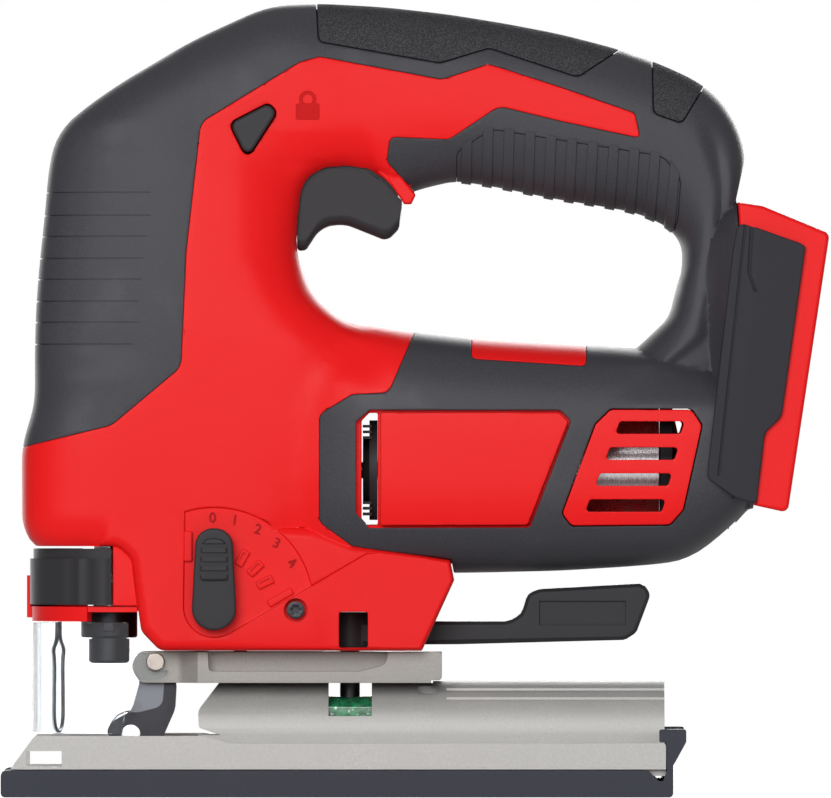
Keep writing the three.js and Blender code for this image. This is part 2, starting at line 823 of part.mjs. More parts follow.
/** Values from one end to the other, in equal steps. */
const spread = (from, to, steps) =>
  Array.from({ length: steps + 1 }, (_, i) => from + ((to - from) * i) / steps);

/** Shallow sector in the left face: one arc over the numbers and one round the hub. */
function selectorRecess() {
  const [x, z] = SELECTOR;
  const rim = (radius, turn) => [x + radius * Math.sin(turn), z + radius * Math.cos(turn)];
  const sector = [
    ...spread(-0.3, 1.36, 8).map((turn) => rim(DIAL_R, turn)),
    ...spread(2.61, 1.5 * Math.PI, 5).map((turn) => rim(HUB_R, turn)),
  ];
  return slab(outline(sector), -FAR, DIAL_DEPTH - FACE_Y);
}

/** The two stops of the selector and the bars between lever and numbers. */
function dialBlocks() {
  const [x, z] = SELECTOR;
  const deep = DIAL_DEPTH + 0.1 - FACE_Y;
  const bars = [30, 47, 64].map((turn) =>
    block([-1.1, 1.1], [0.5 - FACE_Y, deep], [14.9, 19.3]).rotate([0, turn, 0]),
  );
  const upperStop = block([-9.1, -6.5], [-0.4 - FACE_Y, deep], [13.6, 22.8]);
  const lowerStop = block([-4.2, 4.2], [-FACE_Y, deep], [-1.1, 1.1]);
  return union(upperStop, lowerStop.rotate([0, -30.2, 0]).translate([19.9, 0, 2.9]), ...bars)
    .translate([x, 0, z]);
}

/** Wall of the nose behind the left end of the release lever; the right side keeps the lamp clear. */
function pocketWall() {
  const along = [PLUNGER_X + 1.4, LOWER_FRONT + 2];
  return block(along, [0.8 - LEVER_R, -LEVER_INNER_R], [RING_Z[1] + GAP, NOSE_Z + 3]);
}

function hardShell() {
  const lower = softSlab(outline(LOWER_BODY), FACE_Y, 3.2).add(pocketWall());
  const outer = OUTER.subtract(softZone(PART_LINE)).add(lower);
  const recess = through(PANEL_RECESS).subtract(formAt(SKIN + GAP + 0.2));
  return cut(
    outer.add(UNDER),
    ...rooms(),
    leverRoom(),
    recess,
    through(COOLING_SLOT),
    through(grown(VENT, -1.6)),
    through(VENT, GAP).subtract(formAt(3.8)),
    ...SCREWS.map(screwHole),
  );
}

// ---------------------------------------------------------------- build: shell

const hard = hardShell();
const soft = softShell();
const selectorCuts = () =>
  union(
    selectorRecess(),
    rod("y", 3.6, [-FAR, -11], SELECTOR, 16),
    rod("y", 7, [-17.6, -10.5], SELECTOR, 16),
  );

const left = cut(halfOf(hard, "left"), selectorCuts()).add(dialBlocks());
piece("left_housing", left, "redShell", SHELL_FINENESS);
piece("right_housing", halfOf(hard, "right"), "redShell", SHELL_FINENESS);
pair("overmould", soft, "softShell");
pair("top_pad", skin(TOP_PAD, 0, INSERT), "padRubber");
pair("rear_pad", skin(REAR_PAD, 0, INSERT), "padRubber");
pair("finger_grip", fingerGrip(), "padRubber");
pair("motor_panel", skin(MOTOR_PANEL, 0.7, 2.7), "redShell");
pair("vent_grille", cut(skin(VENT, 0.5, 3.5), ...louvres()), "redShell");
SCREWS.forEach((entry, i) => piece(`housing_screw_${i + 1}`, screw(entry), "darkSteel"));
piece("battery_foot", batteryFoot(), "redShell");
pair("battery_cheek", cheeks(), "blackNylon");
piece("terminal_block", terminalBlock(), "blackNylon");
piece("plus_terminal", terminal(BLADES.plus), "copper");
piece("minus_terminal", terminal(BLADES.minus), "copper");
piece("trigger", trigger(), "blackNylon");
piece("switch_module", switchModule(), "blackNylon");
piece("lock_button", lockButton(), "blackNylon");
piece("control_board", controlBoard(), "board");

// ---------------------------------------------------------------- motor

const CAN_X = [36, 98];
const SHAFT_R = 2.5;
const BEARING_R = 8;
const FRONT_BEARING_X = [-35.5, -29.8];
const REAR_BEARING_X = [104.6, 109.6];
const AXIS = [0, MOTOR_Z];

const motorCan = () => {
  const wall = 1.6;
  return turned(
    "x",
    [
      [7, CAN_X[0]],
      [MOTOR_R, CAN_X[0]],
      [MOTOR_R, CAN_X[1]],
      [MOTOR_R - wall, CAN_X[1]],
      [MOTOR_R - wall, CAN_X[0] + wall],
      [7, CAN_X[0] + wall],
    ],
    AXIS,
    24,
  );
};

/** Shaft, slotted core, commutator and the pinion cut on the end of the shaft. */
function armature() {
  const shaft = rod("x", SHAFT_R, [GEAR_X[1], 109], AXIS, 16);
  const core = rod("x", 14.5, [46, 84], AXIS, 24);
  const slots = Array.from({ length: 6 }, (_, i) => {
    const turn = (i * 360) / 6;
    const slot = block([45, 85], [-1.4, 1.4], [8, 20]);
    return slot.rotate([turn, 0, 0]).translate([0, 0, MOTOR_Z]);
  });
  const commutator = rod("x", 7, [88, 96], AXIS, 16);
  const pinion = beam(gearShape(PINION_TEETH), GEAR_X[0], GEAR_X[1]);
  return union(cut(core, ...slots), shaft, commutator, pinion.translate([0, 0, MOTOR_Z]));
}

const FAN_X = [18, 31];
const FAN_R = 18;
const FAN_BLADES = 7;

function fan() {
  const hub = tube("x", 5, SHAFT_R + 0.05, FAN_X, AXIS, 16);
  const disc = tube("x", FAN_R, 4, [FAN_X[1] - 1.6, FAN_X[1]], AXIS, 32);
  const blades = Array.from({ length: FAN_BLADES }, (_, i) => {
    const blade = block([FAN_X[0] + 1, FAN_X[1] - 1], [-0.7, 0.7], [4.4, FAN_R - 0.4]);
    return blade.rotate([(i * 360) / FAN_BLADES, 0, 0]).translate([0, 0, MOTOR_Z]);
  });
  return union(hub, disc, ...blades);
}

const endBell = () =>
  turned(
    "x",
    [
      [4, CAN_X[1] + GAP],
      [MOTOR_R, CAN_X[1] + GAP],
      [MOTOR_R, 102],
      [BEARING_R + 2, 104],
      [BEARING_R + 2, 110.4],
      [BEARING_R + 0.1, 110.4],
      [BEARING_R + 0.1, 104.3],
      [4, 104.3],
    ],
    AXIS,
    24,
  );

const bearing = (along) => tube("x", BEARING_R, SHAFT_R + 0.05, along, AXIS, 16);

// ---------------------------------------------------------------- gears and plunger

const PRESSURE = (20 * Math.PI) / 180;
const BACKLASH = 0.22;

/** An involute spur gear about the origin, bored when a bore radius is given. */
function gearShape(teeth, bore = 0) {
  const pitch = (GEAR_MODULE * teeth) / 2;
  const base = pitch * Math.cos(PRESSURE);
  const tip = pitch + 0.85 * GEAR_MODULE;
  const root = pitch - 1.2 * GEAR_MODULE;
  const involute = (r) => {
    const angle = Math.acos(Math.min(1, base / r));
    return Math.tan(angle) - angle;
  };
  const atPitch = (Math.PI / 2 - BACKLASH) / teeth;
  const halfAngle = (r) => atPitch + involute(pitch) - involute(Math.max(r, base));
  const points = [];
  for (let i = 0; i < teeth; i += 1) {
    const middle = (2 * Math.PI * i) / teeth;
    const radii = bore ? [root, tip] : [root, pitch, tip];
    const flank = radii.map((r) => [r, -halfAngle(r)]);
    const other = radii.toReversed().map((r) => [r, halfAngle(r)]);
    [...flank, ...other].forEach(([r, turn]) => {
      points.push(new THREE.Vector2(r * Math.cos(middle + turn), r * Math.sin(middle + turn)));
    });
  }
  const shape = new THREE.Shape(points);
  if (bore) shape.holes.push(new THREE.Path().absarc(0, 0, bore, 0, 2 * Math.PI, true));
  return shape;
}

const AXLE_R = 4;
const PIN_R = 3;
const YOKE_X = [-73.5, -58.8];
const CRANK = STROKE / 2;

/** Crank gear with its pin, which stops just short of the yoke slot. */
function crankGear() {
  const teeth = beam(gearShape(GEAR_TEETH, AXLE_R + 0.15), GEAR_X[0], GEAR_X[1]);
  const wheel = teeth.rotate([-180 / GEAR_TEETH + 90, 0, 0]).translate([0, 0, GEAR_Z]);
  const boss = rod("x", 5, [GEAR_X[0] - 3, GEAR_X[0] + 2], [CRANK, GEAR_Z], 16);
  const pin = rod("x", PIN_R, [YOKE_X[1] + 0.5, GEAR_X[0]], [CRANK, GEAR_Z], 16);
  return union(wheel, boss, pin);
}

const FRAME = { back: -29.5, half: 19.5 };
const BUSH_R = 8;
const LOWER_BUSH_Z = [NOSE_Z + 1, 86];
const UPPER_BUSH_Z = [155, 166.6];

/** Cast frame: back wall for the gear and motor shaft, and an arm to each plunger bush. */
function gearFrame() {
  const wall = 5;
  const back = block([FRAME.back - wall - 2, FRAME.back], [-FRAME.half, FRAME.half], [84.5, 158]);
  const seat = rod("x", BEARING_R + 2, [-36.4, FRAME.back], AXIS, 24);
  const low = block([-76.5, FRAME.back - 2], [-11.5, 11.5], [77, 84.6]);
  const high = block([-76.5, FRAME.back], [-11.5, 11.5], [156.6, 158.5]);
  const rib = block([-76.5, -60], [-8.6, 8.6], [156, 158.8]);
  return cut(
    union(back, seat, low, high, rib),
    rod("x", BEARING_R + 0.1, [-60, -29.6], AXIS, 24),
    rod("x", 4, [-60, 0], AXIS, 16),
    rod("x", AXLE_R, [-60, 0], [0, GEAR_Z], 16),
    rod("z", BUSH_R, [70, 90], [PLUNGER_X, 0], 24),
    rod("z", BUSH_R - 1.5, [150, 170], [PLUNGER_X, 0], 24),
  );
}

/** Plunger rod with the cross-slotted yoke the crank pin drives. */
function plunger() {
  const shaft = rod("z", ROD, [57, 174], [PLUNGER_X, 0], 20);
  const yoke = block(YOKE_X, [-19, 19], [GEAR_Z - 7, GEAR_Z + 7]);
  const slot = block([-64, -50], [-16.5, 16.5], [GEAR_Z - PIN_R - 0.4, GEAR_Z + PIN_R + 0.4]);
  return shaft.add(yoke).subtract(slot);
}

const bush = (heights, radius) =>
  tube("z", radius, ROD + 0.1, heights, [PLUNGER_X, 0], 16);

// ---------------------------------------------------------------- blade clamp and its lever

const AT_PLUNGER = [PLUNGER_X, 0];

/** Clamp body below the rod, slotted for the shank of the blade. */
function bladeClamp() {
  const profile = [
    [0, 39.9],
    [5.4, 39.9],
    [6.15, 40.6],
    [6.15, 47.2],
    [5.4, 47.2],
    [5.4, 56.7],
    [0, 56.7],
  ];
  const body = turned("z", profile, AT_PLUNGER, 24);
  const slot = block([-73.1, -62.3], [-0.9, 0.9], [38, 54]);
  return body.subtract(slot);
}

/** Spring collar of the clamp, turned by the release lever. */
function clampCollar() {
  const profile = [
    [5.6, 47.6],
    [8.1, 47.6],
    [8.5, 48.1],
    [8.5, 55.6],
    [8, 56.1],
    [5.6, 56.1],
  ];
  const lugs = block([-69, -66], [-9.4, 9.4], [49.4, 52]);
  const hole = rod("z", 5.6, [40, 60], AT_PLUNGER, 24);
  return turned("z", profile, AT_PLUNGER, 24).add(lugs.subtract(hole));
}

/** A ring sector round the plunger axis, from one angle to another in degrees. */
function arcBand(inner, outer, from, to, [low, high]) {
  const [a, b] = [from, to].map((degrees) => (degrees * Math.PI) / 180);
  const steps = Math.max(4, Math.round((to - from) / 10));
  const rim = (r, t) => new THREE.Vector2(PLUNGER_X + r * Math.cos(t), r * Math.sin(t));
  const points = [];
  for (let i = 0; i <= steps; i += 1) points.push(rim(outer, a + ((b - a) * i) / steps));
  for (let i = steps; i >= 0; i -= 1) points.push(rim(inner, a + ((b - a) * i) / steps));
  return plate(new THREE.Shape(points), low, high);
}

/** Curved front lever with shallow finger scallops on its left wing. */
function releaseLever() {
  const [from, to] = LEVER_ARC;
  const body = arcBand(LEVER_INNER_R, LEVER_R, from, to, [LEVER_Z[0], LEVER_Z[1] - 3]);
  const top = arcBand(LEVER_INNER_R, LEVER_R - 1, from, to, [LEVER_Z[1] - 3.2, LEVER_Z[1]]);
  const scallops = [241.5, 254, 266].map((degrees) => {
    const turn = THREE.MathUtils.degToRad(degrees);
    const reach = LEVER_R + SCALLOP_R - 0.7;
    const centre = [PLUNGER_X + reach * Math.cos(turn), reach * Math.sin(turn)];
    return rod("z", SCALLOP_R, [LEVER_Z[0] - 1, LEVER_Z[1] - 2], centre, 24);
  });
  return cut(body.add(top), ...scallops);
}

/** Fixed red ring under the lever, let into the housing behind it. */
function noseRing() {
  const ring = arcBand(RING_R[0], RING_R[1], ...RING_ARC, RING_Z);
  const along = [PLUNGER_X - 7.2, LOWER_FRONT - GAP];
  const tongue = block(along, TONGUE_Y, [RING_Z[1] - TONGUE, RING_Z[1]]);
  const seat = arcBand(RING_R[0], LIP_R[1], ...LIP_ARC, [RING_Z[0] + 1, RING_Z[1]]);
  const lip = arcBand(...LIP_R, ...LIP_ARC, [RING_Z[0] + 1, LIP_TOP]);
  return union(ring, tongue, tongue.mirror([0, 1, 0]), seat, lip);
}

const GUARD_R = 0.8;
/** Bent wire in front of the blade, hung in the nose ring. */
function wireGuard() {
  const path = [
    [-82.3, -13.4, 52.2],
    [-83.6, -12.6, 46],
    [-84, -9, 42],
    [-83.8, -8.2, 34],
    [-83.2, -7.4, 24],
    [-82.6, -4, 20.2],
    [-82, 0, 19.6],
    [-81.6, 4, 20.2],
    [-81.4, 7.4, 24],
    [-81.6, 8.2, 34],
    [-82, 9, 42],
    [-82.6, 12.6, 46],
    [-82.3, 13.4, 52.2],
  ];
  return wire(path, GUARD_R, 26);
}

const SHIELD_HALF = 16.2;
const SHIELD_WALL = 1.6;
const SHIELD_Z = [18.8, 52.2];

/** Clear hood: two wings and a rounded front, clipped over the ends of the arm pin. */
function chipShield() {
  const [px, pz] = ARM_PIN;
  const front = -90.6;
  const u = (inset) =>
    outline([
      [front + inset, -SHIELD_HALF + inset, 8 - inset],
      [front + inset, SHIELD_HALF - inset, 8 - inset],
      [-40 + inset, SHIELD_HALF - inset, 0],
      [-40 + inset, -SHIELD_HALF + inset, 0],
    ]);
  const bend = plate(u(0), SHIELD_Z[0], SHIELD_Z[1]).subtract(plate(u(SHIELD_WALL), 0, 90));
  const wing = outline([
    [-100, 10, 0],
    [-64, 10, 0],
    [-62.6, 26, 4],
    [-60, 35.2, 3],
    [px + 1, 35.2, 3],
    [px + 4.2, 37, 3],
    [px + 4.2, 39.6, 0],
    [px + 3, 43.1, 1],
    [-61.4, 43.1, 2],
    [-61.6, 60, 0],
    [-100, 60, 0],
  ]);
  const clip = rod("y", 2.9, [-FAR, FAR], [px, pz], 20);
  const mouth = block([px, px + 20], [-FAR, FAR], [pz - 2.5, pz + 2.5]);
  return bend.intersect(slab(wing, -FAR, FAR)).subtract(clip.add(mouth));
}

function workLightSeat() {
  const [x, y, z] = WORK_LIGHT;
  return rod("x", 2.2 + GAP, [x - 5, x + 4 + GAP], [y, z], 16);
}

function workLight() {
  const [x, y, z] = WORK_LIGHT;
  return turned("x", [[0, x - 1.6], [1.6, x - 1.2], [2.2, x], [2.2, x + 4], [0, x + 4]], [y, z], 16);
}

// ---------------------------------------------------------------- roller arm

const ARM_HALF = 9.1;
const ARM_SLOT = 9.6; // half width of the slot in the bracket

/** Forked arm: an eye on the pin, a web, and two cheeks that carry the roller. */
function rollerArm() {
  const [px, pz] = ARM_PIN;
  const [rx, rz] = ROLLER;
  const side = outline([
    [px - 4.3, pz + 1, 2],
    [px - 2, pz + 2.9, 2],
    [px + 2.4, pz + 2.9, 2],
    [px + 4.6, pz, 3],
    [px + 6.2, 33, 2],
    [-47.6, 26, 5],
    [-52, 16, 4],
    [rx + 2, rz - 5.4, 3],
    [rx - 4, rz - 4, 3],
    [-68.3, 19.4, 1],
    [-66.4, 22.6, 3],
    [-60.6, 25.6, 4],
    [-58.4, 33.6, 2],
  ]);
  const body = slab(side, -ARM_HALF, ARM_HALF);
  const fork = slab(
    outline([
      [-75, 5, 0],
      [-50.5, 5, 0],
      [-50.5, 24, 3],
      [-54.5, 29, 3],
      [-57, 31, 1],
      [-75, 36, 0],
    ]),
    -6.5,
    6.5,
  );
  const holes = rod("y", 2.75, [-20, 20], ARM_PIN, 20).add(rod("y", 2.15, [-20, 20], ROLLER, 16));
  return body.subtract(fork).subtract(holes);
}

/** Roller with a groove that backs the blade. */
const roller = () =>
  turned(
    "y",
    [
      [2.15, -5.4],
      [ROLLER_R - 0.5, -5.4],
      [ROLLER_R, -4.9],
      [ROLLER_R, -1.4],
      [4.8, -0.9],
      [4.8, 0.9],
      [ROLLER_R, 1.4],
      [ROLLER_R, 4.9],
      [ROLLER_R - 0.5, 5.4],
      [2.15, 5.4],
    ],
    ROLLER,
    20,
  );

const rollerPin = () => {
  const stem = rod("y", 2, [-9.3, 9.3], ROLLER, 16);
  return stem.add(rod("y", 2.9, [9.3, 10.2], ROLLER, 16)).add(rod("y", 2.9, [-10.2, -9.3], ROLLER, 16));
};

const armPin = () => rod("y", 2.6, [-17, 17], ARM_PIN, 20);

// ---------------------------------------------------------------- bracket and bevel clamp

/** Cast bracket between housing and shoe rail, forked in front for the roller arm. */
function shoeBracket() {
  const [low, high] = BRACKET_Z;
  const side = outline([
    [-61.2, 39, 4],
    [-58, low, 3],
    [29.4, low, 0],
    [29.4, 34.9, 0],
    [32.7, 34.9, 1],
    [32.7, high, 1],
    [16.4, high, 0],
    [16, 39.6, 3],
    [8, 37.6, 3],
    [-37.3, 37.6, 1],
    [-37.6, high, 0],
    [-58.5, high, 3],
  ]);
  const wide = slab(side, -18, 18);
  const core = block([-50, 32.7], [-12.5, 12.5], [36, high]);
  const taper = [-1, 1].map((hand) =>
    plate(
      outline([
        [-70, 14 * hand, 0],
        [-46, 14 * hand, 4],
        [-40, 18.5 * hand, 4],
        [-36, 30 * hand, 0],
        [-70, 30 * hand, 0],
      ]),
      0,
      60,
    ),
  );
  return cut(
    wide.add(core),
    ...taper,
    block([-70, -46.4], [-ARM_SLOT, ARM_SLOT], [30, 50]),
    rod("y", 2.7, [-30, 30], ARM_PIN, 20),
    rod("z", BOLT_R + 0.2, [30, 50], [BOLT_X, 0], 20),
    rod("z", 2.2, [30, 50], [BRACKET_SCREW_X, 0], 12),
    rod("z", 4.3, [30, 37], [BRACKET_SCREW_X, 0], 16),
  );
}

function bracketScrew() {
  const centre = [BRACKET_SCREW_X, 0];
  const shank = rod("z", 2, [36.6, 54], centre, 12);
  const head = rod("z", 4, [35, 36.8], centre, 16);
  return shank.add(head).subtract(rod("z", 1.5, [30, 35.9], centre, 6));
}

const LEVER_PIVOT = [BOLT_X, 0];
const CLAMP_LEVER = [
  [BOLT_X - 6, 45.4, 0],
  [38.1, 45.6, 4],
  [70, 46.6, 0],
  [87.8, 46.9, 2],
  [91.2, 49.1, 2],
  [95.6, 60.8, 3],
  [93.2, 63.9, 2],
  [62, 62.2, 3],
  [58.5, 60.8, 3],
  [56.6, 54.6, 4],
  [52.7, 52.5, 4],
  [BOLT_X - 6, 52.5, 0],
];

/** Bevel clamp lever: hub, arm and a thumb paddle, all on the bolt axis. */
function clampLever() {
  const arm = softSlab(outline(CLAMP_LEVER), 6.4, 1, 1);
  const trim = block([BOLT_X - 20, BOLT_X], [-20, 20], [40, 60]);
  const hub = rod("z", 7.4, [43.8, 55.2], LEVER_PIVOT, 28);
  const bore = rod("z", BOLT_R + 0.2, [40, 51.8], LEVER_PIVOT, 20);
  const dish = block([62, 88], [-9, -5.4], [51.4, 58.6]);
  return cut(arm.subtract(trim).add(hub), bore, rod("z", 5.6, [51.6, 60], LEVER_PIVOT, 6), dish);
}

/** Bolt of the bevel clamp: its head is held in the lever, its thread in the nut. */
function clampBolt() {
  const shank = rod("z", BOLT_R, [25, 52], LEVER_PIVOT, 20);
  return shank.add(rod("z", 5.2, [51.9, 54.8], LEVER_PIVOT, 6));
}

/** Saddle nut inside the rail, longer than the slot is wide. */
function clampNut() {
  const round = rod("x", RAIL_BORE - 0.3, [BOLT_X - 9.5, BOLT_X + 9.5], [0, TILT_Z], 32);
  const box = block([BOLT_X - 9.5, BOLT_X + 9.5], [-8, 8], [23.8, 32]);
  return round.intersect(box).subtract(rod("z", BOLT_R + 0.05, [20, 40], LEVER_PIVOT, 20));
}

// ---------------------------------------------------------------- shoe

const PLATE_Z = [6.4, 9.1];
const TRAY_Z = PLATE_Z[0] - GAP; // floor of the sole's tray, which the plate lies in
const WALL_FOOT = SOLE_TOP + GAP;
const FORK_HALF = 26;
const FORK_X = -44;
const WALL = 3;
const WALL_TOP = 18.4; // top of the side walls ahead of the rail
const REAR_RAIL_R = 15.9;
const NUT_SLOT = { x: [-1.4, 11.6], angle: 70 };

/** Half-round rail: an arch on straight legs. */
function arch(radius, bore, x0, x1) {
  const half = (r, base) => {
    const shape = new THREE.Shape();
    shape.moveTo(-r, base);
    shape.lineTo(r, base);
    shape.lineTo(r, TILT_Z);
    shape.absarc(0, TILT_Z, r, 0, Math.PI, false);
    return shape;
  };
  const solidArch = beam(half(radius, PLATE_Z[0]), x0, x1);
  return solidArch.subtract(beam(half(bore, PLATE_Z[0] - 5), x0 - 5, x1 + 5));
}

function shoe() {
  const inner = SHOE_HALF - WALL;
  const base = union(
    block([SHOE_FRONT, SHOE_BACK], [-inner, inner], PLATE_Z),
    block([SHOE_FRONT, SHOE_BACK], [-SHOE_HALF, SHOE_HALF], [WALL_FOOT, PLATE_Z[1]]),
  );
  const wallSide = outline([
    [SHOE_FRONT, WALL_FOOT, 0],
    [SHOE_BACK, WALL_FOOT, 0],
    [SHOE_BACK, 16.2, 0.8],
    [-30.4, 16.2, 0.8],
    [-38.4, WALL_TOP, 0.8],
    [SHOE_FRONT + 7.1, WALL_TOP, 1],
    [SHOE_FRONT, 8.8, 0],
  ]);
  const side = slab(wallSide, -SHOE_HALF, SHOE_HALF);
  const walls = side.subtract(block([-200, 200], [-inner, inner], [0, 40]));
  const frontRail = arch(RAIL_R, RAIL_BORE, -40.6, 30.3);
  const nose = slab(
    outline([
      [-60, 0, 0],
      [-32.1, 0, 0],
      [-32.1, 17.8, 1],
      [-40.4, 20.6, 1],
      [-40.6, 25.8, 3],
      [-34.2, 34.2, 2],
      [-30, 60, 0],
      [-60, 60, 0],
    ]),
    -FAR,
    FAR,
  ).intersect(block([-60, 0], [-FAR, FAR], [WALL_TOP, 60]));
  const rearRail = arch(REAR_RAIL_R, RAIL_BORE, 30, SHOE_BACK - 0.2);
  const flutes = [[32.1, 0.5], [29.4, 0.5]].map(([z, depth]) => {
    const reach = Math.sqrt(REAR_RAIL_R ** 2 - (z - TILT_Z) ** 2);
    return block([34, SHOE_BACK + 1], [-reach - 1, -reach + depth], [z - 0.4, z + 0.4]);
  });
  const slot = block(NUT_SLOT.x, [-FAR, FAR], [24.1, 60]);
  const fork = plate(
    outline([
      [-120, -FORK_HALF, 0],
      [FORK_X, -FORK_HALF, 8],
      [FORK_X, FORK_HALF, 8],
      [-120, FORK_HALF, 0],
    ]),
    0,
    PLATE_Z[1] + 1,
  );
  const edgeGuide = block(
    [SHOE_FRONT + 4.6, SHOE_FRONT + 15.2],
    [-FAR, FAR],
    [PLATE_Z[1], PLATE_Z[1] + 4.8],
  );
  const notch = block([25.5, 31], [-FAR, -3], [30.7, 33]);
  return cut(
    union(base, walls, frontRail, rearRail),
    nose,
    slot,
    fork,
    edgeGuide,
    notch,
    ...flutes,
  );
}

const COVER_SLOT = 20.5;

/** Plastic sole under the shoe: a shallow tray with a catch at the back. */
function shoeCover() {
  const front = SHOE_FRONT - 3.1;
  const back = SHOE_BACK + GAP;
  const side = outline([
    [front, 0, 1.2],
    [back + 1.9, 0, 1.2],
    [back + 1.9, 9.5, 0.5],
    [back + 5.8, 16.6, 0.6],
    [back + 5.8, 20.4, 0.6],
    [back - 2.3, 20.4, 0.6],
    [back - 2.3, 16.6, 0.4],
    [back, 16.4, 0.3],
    [back, 8.4, 0.3],
    [back - 1.1, 4.9, 0],
    [back - 2.5, 4.9, 0],
    [back - 5.6, SOLE_TOP, 0],
    [front, SOLE_TOP, 1.5],
  ]);
  const body = slab(side, -SHOE_HALF, SHOE_HALF);
  const between = block([back - 4.1, back + 10], [-30, 30], [16, 30]);
  const slot = plate(
    outline([
      [-120, -COVER_SLOT, 0],
      [FORK_X - 5, -COVER_SLOT, 8],
      [FORK_X - 5, COVER_SLOT, 8],
      [-120, COVER_SLOT, 0],
    ]),
    -1,
    30,
  );
  const half = SHOE_HALF - WALL + GAP;
  const tray = block([SHOE_FRONT - GAP, back], [-half, half], [TRAY_Z, 30]);
  return cut(body, slot, between, tray);
}

// ---------------------------------------------------------------- orbital selector

/** Lever on the left face, with its shaft through the housing and a cam inside. */
function selectorLever() {
  const [x, z] = SELECTOR;
  const arm = outline([
    [x - 7, z - 7, 6.9],
    [x + 7, z - 7, 6.9],
    [x + 5.4, z + 23.6, 5.2],
    [x - 5.4, z + 23.6, 5.2],
  ]);
  const body = slab(arm, -31.6, -FACE_Y - 0.3);
  const grip = outline([
    [x - 4.2, z + 8, 1],
    [x + 4.2, z + 8, 1],
    [x + 3.8, z + 20.6, 3],
    [x - 3.8, z + 20.6, 3],
  ]);
  const crown = slab(grip, -33, -31);
  const ridges = [0, 1, 2, 3].map((i) =>
    block([x - 6, x + 6], [-33.4, -32.1], [z + 9.6 + 2.7 * i, z + 11 + 2.7 * i]),
  );
  const shaft = rod("y", 3.2, [-FACE_Y - 1, -11], SELECTOR, 16);
  const cam = rod("y", 4.4, [-17, -11], [x + 1.6, z], 16);
  return union(cut(body.add(crown), ...ridges), shaft, cam);
}

// ---------------------------------------------------------------- build: mechanism and foot

piece("motor_can", motorCan(), "brightSteel");
piece("armature", armature(), "copper");
piece("motor_fan", fan(), "blackNylon");
piece("end_bell", endBell(), "blackNylon");
piece("front_bearing", bearing(FRONT_BEARING_X), "brightSteel");
piece("rear_bearing", bearing(REAR_BEARING_X), "brightSteel");
piece("gear_frame", gearFrame(), "castAluminium");
piece("crank_gear", crankGear(), "darkSteel");
piece("gear_axle", rod("x", AXLE_R - 0.05, [GEAR_X[0], -30], [0, GEAR_Z], 16), "brightSteel");
piece("plunger", plunger(), "brightSteel");
piece("upper_bush", bush(UPPER_BUSH_Z, 6.4), "brass");
piece("lower_bush", bush(LOWER_BUSH_Z, BUSH_R - 0.1), "brass");
piece("blade_clamp", bladeClamp(), "darkSteel");
piece("clamp_collar", clampCollar(), "brightSteel");
piece("release_lever", releaseLever(), "blackNylon");
piece("nose_ring", noseRing(), "redShell");
piece("wire_guard", wireGuard(), "brightSteel");
piece("chip_shield", chipShield(), "clearPlastic");
piece("work_light", workLight(), "lens");
piece("roller_arm", rollerArm(), "darkSteel");
piece("blade_roller", roller(), "brightSteel");
piece("roller_pin", rollerPin(), "brightSteel");
piece("arm_pin", armPin(), "darkSteel");
piece("shoe_bracket", shoeBracket(), "castAluminium");
piece("bracket_screw", bracketScrew(), "darkSteel");
piece("clamp_lever", clampLever(), "blackNylon");
piece("clamp_bolt", clampBolt(), "darkSteel");
piece("clamp_nut", clampNut(), "greenNut");
piece("shoe", shoe(), "castAluminium");
piece("shoe_cover", shoeCover(), "slateCover");
piece("selector_lever", selectorLever(), "blackNylon");

export default group;
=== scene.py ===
import logging
import math
from dataclasses import dataclass
from enum import Enum
from functools import cache
from typing import Callable, Iterable, Sequence

import bmesh
import bpy
from bmesh.types import BMEdge, BMesh, BMFace, BMVert
from mathutils import Matrix, Vector
from mathutils.kdtree import KDTree


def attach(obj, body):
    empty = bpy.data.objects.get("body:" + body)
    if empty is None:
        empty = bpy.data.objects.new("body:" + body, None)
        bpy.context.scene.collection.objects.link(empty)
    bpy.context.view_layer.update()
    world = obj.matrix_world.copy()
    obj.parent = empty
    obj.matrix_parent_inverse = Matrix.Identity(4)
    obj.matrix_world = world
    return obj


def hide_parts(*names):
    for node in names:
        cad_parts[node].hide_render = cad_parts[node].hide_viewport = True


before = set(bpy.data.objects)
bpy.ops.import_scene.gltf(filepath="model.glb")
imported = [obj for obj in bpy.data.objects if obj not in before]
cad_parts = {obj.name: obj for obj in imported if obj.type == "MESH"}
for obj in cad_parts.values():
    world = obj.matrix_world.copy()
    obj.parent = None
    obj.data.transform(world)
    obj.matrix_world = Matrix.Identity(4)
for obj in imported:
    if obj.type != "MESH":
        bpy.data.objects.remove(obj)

LOG = logging.getLogger("jigsaw")
MM = 0.001
FAR = 400.0  # beyond every side of the tool
ARC_STEP = 9.0  # turn of one facet of a rounded corner, in degrees
PART_LINE = 0.15  # from the parting plane to either shell half
GAP = 0.3  # round each piece that is set into the shell
SKIN = 2.6  # thickness of the soft shell
INSERT = 1.5  # thickness of pads and grips
SEAM = 0.15  # from the middle of the joint line to the soft or the hard shell
SHARP = 38.0  # turn from which an edge of the shell is rounded, in degrees
MERGE = 0.12  # distance under which corners of the shell are merged first
FACE_Y = 26.0  # half width of the lower body
SELECTOR = (-35.7, 57.0)  # x and z of the selector's shaft
PLUNGER = (-67.5, 0.0)  # x and y of the plunger
MOTOR = (0.0, 98.0)  # y and z of the motor's shaft

Corner = Sequence[float]
Section = Sequence[float]
Span = Sequence[float]
Point = tuple[float, float]
Point3 = tuple[float, float, float]
Colour = tuple[float, float, float]


